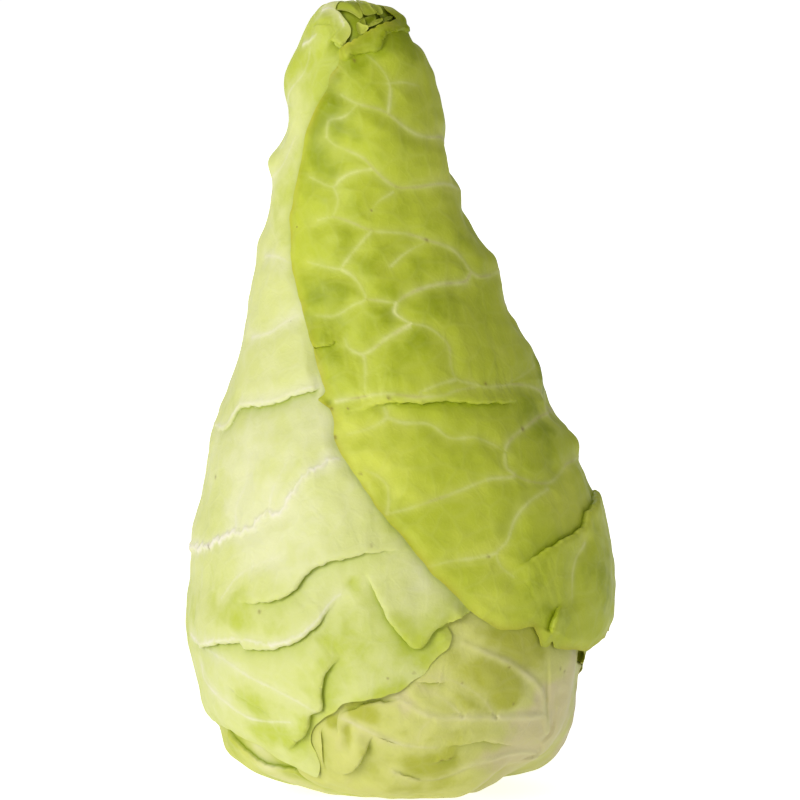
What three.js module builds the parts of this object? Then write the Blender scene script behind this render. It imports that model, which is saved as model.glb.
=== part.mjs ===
// A pointed cabbage, standing on its cut stem: five wrapper leaves, the leaves folded under them, the
// bud at the heart and the stem that they all grow from. Millimetres, +Z up, front towards -Y, origin
// on the floor under the middle of the head.
//
// The outside of the head is one smooth skin. Each leaf is a patch of that skin, bounded by its two
// margins, and it lies below the skin by the leaves that cover it there, so that the leaves nest
// without touching.
import * as THREE from 'three';

const LEAF_THICKNESS = 1.2;
const WRAPPER_PITCH = 2.6;      // from one wrapper leaf's outer face to the next one's
const INNER_PITCH = 4.4;        // the same inside the head, where air lies between the leaves
const COVER_STARTS = 24;        // a leaf begins to dip this far outside the margin of the leaf above it
const COVER_ENDS = 6;           // and has finished dipping here, still outside that margin
const HIDDEN_COVER = 0.55;      // inner leaves count as at least this much covered everywhere
const VIEW_TILT = 8;            // the front elevation looks down by this many degrees
const VIEW_DROP = 3.2;          // and its lowest visible line lies this far below the origin
const DEPTH_RATIO = 0.96;       // front-to-back size over left-to-right size
const SKIN_COLOURS = { green: 0xa6b13c, dark: 0xaab54a, pale: 0xe0e6a0, base: 0xd2d08c, low: 0xd0d386 };
const HEART_COLOURS = { leaf: 0xe8eab4, bud: 0xeceab8, tip: 0x92a02a, stem: 0xd9d2a6 };

// The turned pieces: [radius, height] pairs going up, where the middle is, and the number of sides.
const STEM = { profile: [[0, 0], [18.5, 0], [18.5, 8], [15, 24], [12, 42], [7, 56], [0, 62]],
  middle: [1, 0], sides: 28 };
const BUD = { profile: [[0, 65], [7, 67], [10, 74], [9, 84], [5, 94], [0, 99]],
  middle: [-2, 0], sides: 16 };
const TIP_KNOT = { profile: [[0, 226], [5, 227], [6.5, 231], [5.5, 235.5], [3.5, 239], [0, 240]],
  middle: [-13, -7.5], sides: 12 };

// The skin from the rim of the cut stem to the tip: height, left edge, right edge, forward lean.
const STATIONS = [
  [0.6, -19, 21, 0], [1.2, -29, 31, 0], [4, -40, 42, 0], [9.5, -49, 48.5, 0], [16, -54, 52.5, 0],
  [24, -58.5, 56.5, 0], [34, -62, 60, 0], [45, -64.5, 63, 0], [56, -65, 64.5, 0], [66, -64, 64.5, 0],
  [78, -62.5, 63, 0], [90, -60.5, 59.5, 0], [105, -57.5, 53.5, 0], [120, -53.5, 46, 0],
  [135, -49, 39.5, 0.5], [150, -46, 32.5, 1], [165, -42.5, 25.5, 1.5], [180, -39.5, 19.5, 2],
  [195, -37, 15.5, 3], [208, -34.8, 12.8, 4], [220, -32.5, 9.3, 5], [229, -30, 5, 6],
  [235, -27, 0.5, 7], [238.5, -22.5, -5, 7.5], [240, -13.5, -13.5, 8],
];

const rad = THREE.MathUtils.degToRad;

// A smooth curve through rows of numbers; `at` measures along the first `metric` columns.
function smoothCurve(rows, metric) {
  const at = [0];
  for (let i = 1; i < rows.length; i++) {
    at.push(at[i - 1] + Math.hypot(...metric(rows[i - 1], rows[i])));
  }
  const last = rows.length - 1;
  const slope = (i, c) => {
    const a = Math.max(i - 1, 0);
    const b = Math.min(i + 1, last);
    return (rows[b][c] - rows[a][c]) / (at[b] - at[a]);
  };
  const length = at[last];
  const point = (s) => {
    let i = 0;
    while (i < last - 1 && s > at[i + 1]) i++;
    const span = at[i + 1] - at[i];
    const t = THREE.MathUtils.clamp((s - at[i]) / span, 0, 1);
    const [t2, t3] = [t * t, t * t * t];
    return rows[i].map((value, c) => (
      value * (2 * t3 - 3 * t2 + 1) + rows[i + 1][c] * (3 * t2 - 2 * t3)
      + span * (slope(i, c) * (t3 - 2 * t2 + t) + slope(i + 1, c) * (t3 - t2))));
  };
  return { point, length };
}

const meridian = smoothCurve(
  STATIONS.map(([z, left, right, lean]) => [z, (left + right) / 2, (right - left) / 2, -lean]),
  (a, b) => [b[0] - a[0], b[2] - a[2]]);

// The point of the skin at an azimuth in degrees (0 right, -90 front) and a distance up the meridian.
function skin(azimuth, s) {
  const [z, x, half, y] = meridian.point(s);
  return new THREE.Vector3(
    x + half * Math.cos(rad(azimuth)), y + DEPTH_RATIO * half * Math.sin(rad(azimuth)), z);
}

// The same point, moved into the head along the skin's normal.
function inside(azimuth, s, depth) {
  const reach = 0.5;
  const low = THREE.MathUtils.clamp(s - reach, 0, meridian.length - 2 * reach);
  const along = skin(azimuth, low + 2 * reach).sub(skin(azimuth, low));
  const around = skin(azimuth + reach, s).sub(skin(azimuth - reach, s));
  const outward = around.cross(along).normalize();
  return skin(azimuth, s).addScaledVector(outward, -depth);
}

// Where isBelow stops holding, between low and high.
function bisect(low, high, isBelow) {
  const halvings = 40;
  for (let i = 0; i < halvings; i++) {
    const middle = (low + high) / 2;
    if (isBelow(middle)) {
      low = middle;
    } else {
      high = middle;
    }
  }
  return low;
}

// [azimuth, s] of the skin at a height.
function ring(azimuth, height) {
  return [azimuth, bisect(0, meridian.length, (s) => meridian.point(s)[0] < height)];
}

// [azimuth, s] of the skin under a point of the front elevation, x to the right and h up.
function seen(x, h) {
  const azimuthAt = (s) => {
    const [, middle, half] = meridian.point(s);
    const share = THREE.MathUtils.clamp((x - middle) / Math.max(half, 1e-6), -1, 1);
    return -THREE.MathUtils.radToDeg(Math.acos(share));
  };
  const s = bisect(0, meridian.length, (at) => {
    const p = skin(azimuthAt(at), at);
    return p.z * Math.cos(rad(VIEW_TILT)) + p.y * Math.sin(rad(VIEW_TILT)) + VIEW_DROP < h;
  });
  return [azimuthAt(s), s];
}

// The same for a leaf whose azimuths are counted on from 180 degrees, past the left side.
function seenOn(x, h) {
  const [azimuth, s] = seen(x, h);
  return [azimuth + 360, s];
}

const TIP = meridian.length - 9;   // the wrapper leaves stop here, short of the very tip

// The wrapper leaves from the outermost in. Each margin runs from the stem to the tip.
const WRAPPERS = [
  { name: 'hood_leaf', colour: SKIN_COLOURS.green, columns: 18, rows: 24,
    first: [[14, 0], [16, 20], [18, 42], ring(14, 38), ring(2, 47), seen(60, 47), seen(49.5, 46),
      seen(43, 52), seen(30, 51.6), seen(18, 59.4), seen(3, 76.5), seen(-10.5, 93), seen(-20, 109.5),
      seen(-24.6, 126), seen(-29, 145.5), seen(-33.3, 160.5), seen(-34, 169.5), seen(-33, 180),
      seen(-31, 190.5), seen(-28.5, 201), seen(-23.4, 211.5), seen(-16.5, 222.6), [-100, TIP]],
    second: [[66, 0], [66, 20], [68, 42], ring(82, 38), ring(100, 52), ring(114, 75), ring(122, 105),
      ring(128, 140), ring(138, 180), ring(150, 212), [160, TIP]] },
  { name: 'back_leaf', colour: SKIN_COLOURS.dark, columns: 16, rows: 20,
    first: [[80, 0], [66, 16], [40, 34], ring(6, 22), ring(-3, 30), ring(-3, 44), ring(4, 66),
      ring(12, 100), ring(20, 150), ring(30, 200), [40, TIP]],
    second: [[128, 0], [130, 18], [134, 36], ring(142, 38), ring(148, 62), ring(150, 100),
      ring(151, 140), ring(152, 180), ring(153, 210), [154, TIP]] },
  { name: 'side_leaf', colour: SKIN_COLOURS.pale, columns: 18, rows: 24,
    first: [[146, 0], [146, 20], [140, 40], ring(120, 40), ring(104, 60), ring(98, 90), ring(96, 130),
      ring(98, 170), ring(104, 205), [110, TIP]],
    second: [[166, 0], [167, 10], ring(172, 10), ring(178, 15), ring(186, 20), seenOn(-45, 17),
      seenOn(-34, 10.2), seenOn(-25, 6.2), seenOn(-26.5, 15), seenOn(-22, 25), seenOn(-9, 31),
      seenOn(3, 35), seenOn(14, 45), seenOn(10, 51), seenOn(21, 56), ring(288, 84), ring(294, 110),
      ring(296, 150), ring(290, 190), ring(282, 215), [278, TIP]] },
  { name: 'base_leaf', colour: SKIN_COLOURS.base, columns: 16, rows: 20,
    first: [[-76, 0], [-92, 8], [-112, 18], [-126, 26], ring(-128, 12), ring(-122, 26), ring(-112, 45),
      ring(-106, 80), ring(-102, 120), ring(-98, 160), ring(-94, 196), [-90, TIP - 14]],
    second: [[-4, 0], [2, 16], ring(10, 12), ring(14, 26), ring(14, 40), ring(22, 60), ring(34, 90),
      ring(40, 130), ring(44, 165), ring(46, 196), [48, TIP - 14]] },
  { name: 'low_leaf', colour: SKIN_COLOURS.low, columns: 14, rows: 16,
    first: [[206, 0], [192, 12], [172, 26], ring(160, 12), ring(152, 30), ring(148, 60), ring(150, 100),
      ring(154, 140), ring(160, 180), [166, TIP - 24]],
    second: [[256, 0], [256, 10], [254, 20], ring(254, 8), ring(262, 20), ring(268, 44), ring(272, 80),
      ring(272, 120), ring(270, 150), ring(268, 180), [264, TIP - 24]] },
];

// The leaves inside: one after another round the stem, each a little shorter than the last.
const INNER_LEAVES = 9;
const INNER_TURN = 137.5;       // degrees from each leaf's midrib to the next one's
const INNER_FIRST = 70;
const INNER_TALLEST = 40;       // how far short of the tip the first of them stops
const INNER_SHORTER = 13;

function innerLeaf(index) {
  const middle = ((INNER_FIRST + index * INNER_TURN + 180) % 360) - 180;
  const top = meridian.length - INNER_TALLEST - INNER_SHORTER * index;
  const spread = [[20, 0], [34, 0.08], [74, 0.2], [104, 0.36], [112, 0.55], [106, 0.78], [92, 1]];
  const side = (sign) => spread.map(([width, share]) => [middle + sign * width, share * top]);
  return { name: `inner_leaf_${index + 1}`, colour: HEART_COLOURS.leaf, columns: 10, rows: 9,
    first: side(-1), second: side(1) };
}

const LEAVES = [...WRAPPERS, ...Array.from({ length: INNER_LEAVES }, (_, i) => innerLeaf(i))];

const metricOfSkin = ([azimuthA, sA], [azimuthB, sB]) => {
  const half = meridian.point((sA + sB) / 2)[2];
  return [rad(azimuthB - azimuthA) * half, sB - sA];
};

// Both margins as smooth curves, cut into the leaf's rows, and the outline that they make.
for (const leaf of LEAVES) {
  const sample = (margin) => {
    const curve = smoothCurve(margin, metricOfSkin);
    return Array.from({ length: leaf.rows + 1 }, (_, i) => curve.point(curve.length * i / leaf.rows));
  };
  leaf.margins = [sample(leaf.first), sample(leaf.second)];
  leaf.outline = [...leaf.margins[0], ...leaf.margins[1].slice().reverse()];
  const azimuths = leaf.outline.map(([azimuth]) => azimuth);
  leaf.middle = (Math.min(...azimuths) + Math.max(...azimuths)) / 2;
}

// How far a point of the skin lies outside a leaf's outline, in mm; 0 or less means under the leaf.
function outsideOf(leaf, azimuth, s) {
  const scale = Math.max(meridian.point(s)[2], 1);
  const turned = azimuth - 360 * Math.round((azimuth - leaf.middle) / 360);
  let nearest = Infinity;
  let within = false;
  leaf.outline.forEach(([azimuthA, sA], i) => {
    const [azimuthB, sB] = leaf.outline[(i + 1) % leaf.outline.length];
    const [ax, bx] = [rad(azimuthA - turned) * scale, rad(azimuthB - turned) * scale];
    const [ay, by] = [sA - s, sB - s];
    const length2 = (bx - ax) ** 2 + (by - ay) ** 2 || 1e-9;
    const t = THREE.MathUtils.clamp(-(ax * (bx - ax) + ay * (by - ay)) / length2, 0, 1);
    nearest = Math.min(nearest, Math.hypot(ax + t * (bx - ax), ay + t * (by - ay)));
    if ((ay > 0) !== (by > 0) && ax + (bx - ax) * (-ay / (by - ay)) > 0) within = !within;
  });
  return within ? -nearest : nearest;
}

// How deep a leaf lies below the skin: the sum of what covers it.
function depthOf(order, azimuth, s) {
  const least = order < WRAPPERS.length ? 0 : HIDDEN_COVER;
  let depth = 0;
  for (let above = 0; above < order; above++) {
    const pitch = above < WRAPPERS.length ? WRAPPER_PITCH : INNER_PITCH;
    const outside = outsideOf(LEAVES[above], azimuth, s);
    const cover = 1 - THREE.MathUtils.smoothstep(outside, COVER_ENDS, COVER_STARTS);
    depth += pitch * Math.max(cover, least);
  }
  return depth;
}

// A leaf as a closed shell: an outer face, an inner face and a rim.
function leafGeometry(order) {
  const { margins: [first, second], columns, rows } = LEAVES[order];
  const positions = [];
  for (const thickness of [0, LEAF_THICKNESS]) {
    for (let i = 0; i <= rows; i++) {
      for (let j = 0; j <= columns; j++) {
        const azimuth = THREE.MathUtils.lerp(first[i][0], second[i][0], j / columns);
        const s = THREE.MathUtils.lerp(first[i][1], second[i][1], j / columns);
        positions.push(...inside(azimuth, s, depthOf(order, azimuth, s) + thickness));
      }
    }
  }
  const at = (side, i, j) => side * (rows + 1) * (columns + 1) + i * (columns + 1) + j;
  const faces = [];
  const quad = (a, b, c, d) => faces.push(a, b, c, a, c, d);
  for (let i = 0; i < rows; i++) {
    for (let j = 0; j < columns; j++) {
      quad(at(0, i, j), at(0, i, j + 1), at(0, i + 1, j + 1), at(0, i + 1, j));
      quad(at(1, i, j), at(1, i + 1, j), at(1, i + 1, j + 1), at(1, i, j + 1));
    }
    quad(at(0, i, 0), at(0, i + 1, 0), at(1, i + 1, 0), at(1, i, 0));
    quad(at(0, i + 1, columns), at(0, i, columns), at(1, i, columns), at(1, i + 1, columns));
  }
  for (let j = 0; j < columns; j++) {
    quad(at(0, 0, j + 1), at(0, 0, j), at(1, 0, j), at(1, 0, j + 1));
    quad(at(0, rows, j), at(0, rows, j + 1), at(1, rows, j + 1), at(1, rows, j));
  }
  const geometry = new THREE.BufferGeometry();
  geometry.setAttribute('position', new THREE.Float32BufferAttribute(positions, 3));
  geometry.setIndex(faces);
  geometry.computeVertexNormals();
  return geometry;
}

function leafMaterial(colour) {
  return new THREE.MeshStandardMaterial({ color: colour, roughness: 0.45, metalness: 0 });
}

// A solid of revolution about the vertical through its middle.
function turned(name, { profile, middle, sides }, colour) {
  const geometry = new THREE.LatheGeometry(profile.map((pair) => new THREE.Vector2(...pair)), sides);
  geometry.rotateX(Math.PI / 2).translate(...middle, 0);
  const mesh = new THREE.Mesh(geometry, leafMaterial(colour));
  mesh.name = name;
  return mesh;
}

const cabbage = new THREE.Group();
LEAVES.forEach((leaf, order) => {
  const mesh = new THREE.Mesh(leafGeometry(order), leafMaterial(leaf.colour));
  mesh.name = leaf.name;
  cabbage.add(mesh);
});
cabbage.add(turned('cut_stem', STEM, HEART_COLOURS.stem));
cabbage.add(turned('heart_bud', BUD, HEART_COLOURS.bud));
cabbage.add(turned('tip_leaves', TIP_KNOT, HEART_COLOURS.tip));

export default cabbage;
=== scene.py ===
"""A pointed cabbage standing on its cut stem: five wrapper leaves, the leaves under them, the crumpled tip,
the bud and the core. Lengths are in millimetres until a mesh is made; the scene is in metres, +Z up.

The head has one smooth skin. A place on it is an azimuth in degrees (0 right, -90 front, 180 left, 90 back)
and s, the distance up the skin from the rim of the cut stem. Each leaf is a patch of the skin between two
margins, lies below the skin by the leaves that cover it, and has its own veins, pleats and bulges.
"""
import math

import bpy
import numpy as np
from mathutils import Matrix, Vector, geometry, kdtree


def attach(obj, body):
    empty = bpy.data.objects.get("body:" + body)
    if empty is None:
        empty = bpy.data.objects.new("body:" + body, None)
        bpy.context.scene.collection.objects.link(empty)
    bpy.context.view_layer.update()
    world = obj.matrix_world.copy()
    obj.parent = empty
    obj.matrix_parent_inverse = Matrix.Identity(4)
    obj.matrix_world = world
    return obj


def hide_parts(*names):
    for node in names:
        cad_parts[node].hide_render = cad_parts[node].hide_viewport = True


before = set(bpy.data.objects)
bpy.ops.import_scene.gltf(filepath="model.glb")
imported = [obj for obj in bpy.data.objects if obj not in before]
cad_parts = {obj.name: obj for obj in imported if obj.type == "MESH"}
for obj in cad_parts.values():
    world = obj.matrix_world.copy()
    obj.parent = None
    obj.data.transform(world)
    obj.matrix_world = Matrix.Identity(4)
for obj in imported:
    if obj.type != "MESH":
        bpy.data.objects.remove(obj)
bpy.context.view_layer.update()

MM = 0.001

# ---- The skin of the head ----

DEPTH_RATIO = 0.96              # front-to-back size over left-to-right size

# From the rim of the cut stem to the tip: height, left edge, right edge, forward lean.
STATIONS = [
    (0.6, -19, 21, 0), (1.2, -29, 31, 0), (4, -40, 42, 0), (9.5, -49, 48.5, 0), (16, -54, 52.5, 0),
    (24, -58.5, 56.5, 0), (34, -62, 60, 0), (45, -64.5, 63, 0), (56, -65, 64.5, 0), (66, -64, 64.5, 0),
    (78, -62.5, 63, 0), (90, -60.5, 59.5, 0), (105, -57.5, 53.5, 0), (120, -53.5, 46, 0),
    (135, -49, 39.5, 0.5), (150, -46, 32.5, 1), (165, -42.5, 25.5, 1.5), (180, -39.5, 19.5, 2),
    (195, -37, 15.5, 3), (208, -34.8, 12.8, 4), (220, -32.5, 9.3, 5), (229, -30, 5, 6),
    (235, -27, 0.5, 7), (238.5, -22.5, -5, 7.5), (240, -13.5, -13.5, 8),
]

# The front elevation that places on the front are given in: x to the right and h up, in the plane through
# the middle of the head, as a camera sees them from VIEW_DISTANCE, looking down by VIEW_TILT degrees.
VIEW_TILT = math.radians(8)
VIEW_DISTANCE = 2500
VIEW_AIM = 118                  # height on the axis that the camera looks at
VIEW_MIDDLE = 120               # h of that point
VIEW_SPAN = 240                 # how much the view takes in, side to side


def ramp(value, low, high):
    """0 below low, 1 above high, and smooth between them. Low may be the larger one."""
    t = np.clip((value - low) / (high - low), 0, 1)
    return t * t * (3 - 2 * t)


class Curve:
    """A smooth curve through rows of numbers, which lie these steps apart."""

    def __init__(self, rows, steps):
        self.rows = np.asarray(rows, float)
        self.at = np.concatenate([[0.0], np.cumsum(steps)])
        self.length = self.at[-1]
        before = np.maximum(np.arange(len(self.rows)) - 1, 0)
        after = np.minimum(np.arange(len(self.rows)) + 1, len(self.rows) - 1)
        self.slopes = (self.rows[after] - self.rows[before]) / (self.at[after] - self.at[before])[:, None]

    def __call__(self, along):
        """The rows at distances along the curve."""
        along = np.clip(np.atleast_1d(along), 0, self.length)
        i = np.clip(np.searchsorted(self.at, along, side="right") - 1, 0, len(self.rows) - 2)
        span = (self.at[i + 1] - self.at[i])[:, None]
        t = (along - self.at[i])[:, None] / span
        t2, t3 = t * t, t * t * t
        return (self.rows[i] * (2 * t3 - 3 * t2 + 1) + self.rows[i + 1] * (3 * t2 - 2 * t3)
                + span * (self.slopes[i] * (t3 - 2 * t2 + t) + self.slopes[i + 1] * (t3 - t2)))


def make_meridian():
    """Height, middle, half width and y of the skin's middle line, by s."""
    rows = np.array([(z, (left + right) / 2, (right - left) / 2, -lean)
                     for z, left, right, lean in STATIONS])
    return Curve(rows, np.hypot(*np.diff(rows[:, [0, 2]], axis=0).T))


meridian = make_meridian()
TIP = meridian.length - 9       # s where the flatter top of the head starts
TOP = meridian.length - 2       # and where the longest leaves end


def skin(azimuth, s):
    """Points of the skin."""
    z, x, half, y = meridian(s).T
    turn = np.radians(azimuth)
    return np.stack([x + half * np.cos(turn), y + DEPTH_RATIO * half * np.sin(turn), z], axis=-1)


def outward(azimuth, s):
    """The skin's unit normals, pointing out."""
    reach = 0.5
    low = np.clip(s - reach, 0, meridian.length - 2 * reach)
    along = skin(azimuth, low + 2 * reach) - skin(azimuth, low)
    around = skin(azimuth + reach, s) - skin(azimuth - reach, s)
    normal = np.cross(around, along)
    return normal / np.linalg.norm(normal, axis=1, keepdims=True)


def elevation(points):
    """x and h of points in the front elevation, and how large it shows things there."""
    tilt_sin, tilt_cos = math.sin(VIEW_TILT), math.cos(VIEW_TILT)
    y, z = points[:, 1], points[:, 2] - VIEW_AIM
    scale = VIEW_DISTANCE / (VIEW_DISTANCE + y * tilt_cos - z * tilt_sin)
    return points[:, 0] * scale, VIEW_MIDDLE + (z * tilt_cos + y * tilt_sin) * scale, scale


PERSPECTIVE_ROUNDS = 3          # how often the scale is worked out anew from the place found
HALVINGS = 36                   # which brings s well within a thousandth of a millimetre


def front(*places):
    """[(azimuth, s), ...] of the skin under (x, h) places of the front elevation."""
    x, h = np.array(places, float).T
    scale = np.ones_like(x)

    def azimuth_at(s):
        _, middle, half, _ = meridian(s).T
        return -np.degrees(np.arccos(np.clip((x / scale - middle) / np.maximum(half, 1e-6), -1, 1)))

    for _ in range(PERSPECTIVE_ROUNDS):
        low, high = np.zeros_like(x), np.full_like(x, meridian.length)
        for _ in range(HALVINGS):
            s = (low + high) / 2
            below = elevation(skin(azimuth_at(s), s))[1] < h
            low, high = np.where(below, s, low), np.where(below, high, s)
        scale = elevation(skin(azimuth_at(low), low))[2]
    return list(zip(azimuth_at(low), low))


STEPS_UP = np.linspace(0, meridian.length, 2000)
HEIGHTS = meridian(STEPS_UP)[:, 0]


def ring(azimuth, height):
    """(azimuth, s) of the skin at a height."""
    return azimuth, float(np.interp(height, HEIGHTS, STEPS_UP))


def spot(x, h):
    """(azimuth, s) of the skin under one place of the front elevation."""
    return front((x, h))[0]


def placed(where, *rows):
    """The rows, with the two numbers that each starts with made into a place by ring or spot."""
    return [(where(a, b), *rest) for a, b, *rest in rows]


def on_skin(places, spacing):
    """Places every so many millimetres on a smooth curve of the skin through the given ones."""
    rows = np.array(places, float)
    rows[:, 0] = np.unwrap(rows[:, 0], period=360)
    half = meridian((rows[1:, 1] + rows[:-1, 1]) / 2)[:, 2]
    steps = np.hypot(np.radians(np.diff(rows[:, 0])) * half, np.diff(rows[:, 1]))
    curve = Curve(rows, np.maximum(steps, 1e-3))
    return curve(np.linspace(0, curve.length, max(2, math.ceil(curve.length / spacing) + 1)))


WAVES = 14                      # plane waves that make up a field of hills


def waves(points, wavelength, seed):
    """Gentle random hills over points in space, about -1 to 1 in height and a wavelength apart."""
    random = np.random.default_rng(seed)
    directions = random.normal(size=(WAVES, 3))
    directions /= np.linalg.norm(directions, axis=1, keepdims=True)
    directions *= 2 * math.pi / (wavelength * random.uniform(0.7, 1.5, (WAVES, 1)))
    phases = random.uniform(0, 2 * math.pi, WAVES)
    return np.sin(points @ directions.T + phases).sum(axis=1) / math.sqrt(WAVES)


# ---- What a leaf is made of ----

# The foot of a leaf is plain. Between these distances up the skin its margins take on their waves and
# their own colour, and then their curl.
PLAIN_FOOT = (26, 50)
FLAT_FOOT = (30, 60)


def crinkled(places, spacing, amount, start=0.0):
    """Places of a line, moved up and down the skin by three waves that don't fit each other."""
    run = spacing * np.arange(len(places)) + start
    wavy = places.copy()
    wavy[:, 1] += amount * (np.sin(run * 0.9) * np.sin(run * 0.23) + 0.5 * np.sin(run * 2.1))
    return wavy


VEIN_STEP = 0.35                # between the points that stand for a vein
VEIN_TAPER = 0.35               # the share of its width that it has lost at its end
VEIN_GLOW = 1.1                 # a vein's paleness spreads this far past it,
GLOW_SHARE = 0.28               # with this share of its whiteness
BROWN_CORE = 0.3                # half the width of the brown in it
CELL_WIDTH = 6                  # the blade has risen in full this far from the nearest vein
FAR_FROM_VEINS = 50             # the distance to them on a leaf that has none


class Vein:
    """A pale line, raised or not, with a brown core if it has any brown. It fades towards its end."""

    def __init__(self, width, rise, places, whiteness=1.0, fade=0.6, brown=0.0, crinkle=0.0):
        self.width, self.rise, self.places = width, rise, places
        self.whiteness, self.fade, self.brown, self.crinkle = whiteness, fade, brown, crinkle

    def line(self, spacing):
        """Points of the skin along it, up and down by its crinkle."""
        return skin(*crinkled(on_skin(self.places, spacing), spacing, self.crinkle, 10 * self.width).T)


PLEAT_STEP = 1.2                # between the points that stand for a fold
PLEAT_DROP = 0.45               # a fold falls to its low side over this distance,
PLEAT_EDGE = 0.55               # from this share of its rise,
PLEAT_ROUND = 1.8               # which it reaches in full this far back from its line
PLEAT_FLARE = 2.5               # and the low side comes back up over this one
LIP_WIDTH = 1.5                 # the strip of a fold that leans out over its low side


class Pleat:
    """A fold, whose left side lies over the right, seen from outside in the direction that it runs.

    It stands up by its rise, which dies away over its reach, and its low side dips. Its lip leans out over
    the low side. It starts and ends over these shares of its length. One that flips has its sides changed
    over, and one that is free keeps its height up to a covering margin. Painted shade darkens its crease,
    as strongly as given.
    """

    def __init__(self, rise, places, reach=10, dip=0.4, lip=0.6, starts=0.25, ends=0.25, flip=False,
                 free=False, crease_shade_strength=1.0, crinkle=0.3):
        self.rise, self.reach, self.dip, self.lip, self.crease_shade_strength = rise, reach, dip, lip, crease_shade_strength
        self.starts, self.ends, self.flip, self.free = starts, ends, flip, free
        self.places = crinkled(on_skin(places, PLEAT_STEP), PLEAT_STEP, crinkle, places[0][1])

    def measure(self, points):
        """Which points are near, and for those the distance, above 0 on the high side, the strength from
        0 to 1, and the way to the low side."""
        line = skin(*self.places.T)
        far = 3 * self.reach
        near = np.all((points > line.min(axis=0) - far) & (points < line.max(axis=0) + far), axis=1)
        start, step = line[:-1], np.diff(line, axis=0)
        gap = points[near][:, None] - start[None]
        t = np.clip((gap * step).sum(-1) / (step * step).sum(-1), 0, 1)
        distance = np.linalg.norm(gap - t[..., None] * step, axis=-1)
        nearest = distance.argmin(axis=1)
        pick = np.arange(len(nearest))
        tangent = step[nearest] / np.linalg.norm(step[nearest], axis=1, keepdims=True)
        normal = outward(*self.places[:-1].T)[nearest]
        side = np.cross(normal, tangent) * (-1 if self.flip else 1)
        across = (gap[pick, nearest] * side).sum(-1)
        along = (nearest + t[pick, nearest]) / len(step)
        strength = ramp(along, 0, max(self.starts, 1e-3)) * ramp(along, 1, 1 - max(self.ends, 1e-3))
        return near, np.copysign(distance[pick, nearest], across), strength, -side

    def profile(self, across):
        """The height across its line: a rounded lip that dies away, and a drop to the low side."""
        lip = PLEAT_EDGE + (1 - PLEAT_EDGE) * np.sqrt(1 - (1 - np.clip(across / PLEAT_ROUND, 0, 1)) ** 2)
        high = self.rise * lip * np.exp(-np.maximum(across, 0) / self.reach)
        low = -self.dip * np.exp(np.minimum(across + PLEAT_DROP, 0) / PLEAT_FLARE)
        fall = (self.rise * PLEAT_EDGE + self.dip) * np.clip(1 + across / PLEAT_DROP, 0, 1)
        return np.where(across > 0, high, low + fall)


class Bulge:
    """A soft hill, or a hollow if its rise is below zero.

    A free hill keeps its height up to a covering margin, and a free hollow goes on under the cover.
    """

    def __init__(self, place, radius, rise, free=False):
        self.place, self.radius, self.rise, self.free = place, radius, rise, free


def hills(where, *rows, free=False):
    """Bulges from rows of a place's two numbers, a radius and a rise."""
    return [Bulge(*row, free=free) for row in placed(where, *rows)]


LEAVES = []                     # from the outermost in; each leaf adds itself
WRAPPERS = 5                    # the first of them, which show
OUTSIDE_STEP = (1.5, 1.5)       # degrees and mm between the entries of a leaf's table of distances
HIDDEN_COVER = 0.55             # every leaf above an inner leaf covers it by at least this share
MARGIN_SHARE = 0.45             # a leaf has sunk by this share of the pitch at the margin above it
SINK_OUTSIDE, SINK_INSIDE = 12, 7   # where the sinking starts outside that margin, and ends inside it
PRESSING = (0.5, -2)            # between these distances outside a margin, its hollows start to press
HIDDEN_FROM = 4                 # a place this far inside a margin above it can't be seen
FACES_BACK = 0.15               # a normal's y from which the skin is behind the head
LONG_WAVE, SHORT_WAVE, SHORT_SHARE = 16, 5, 0.6     # the waves of a margin


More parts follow.
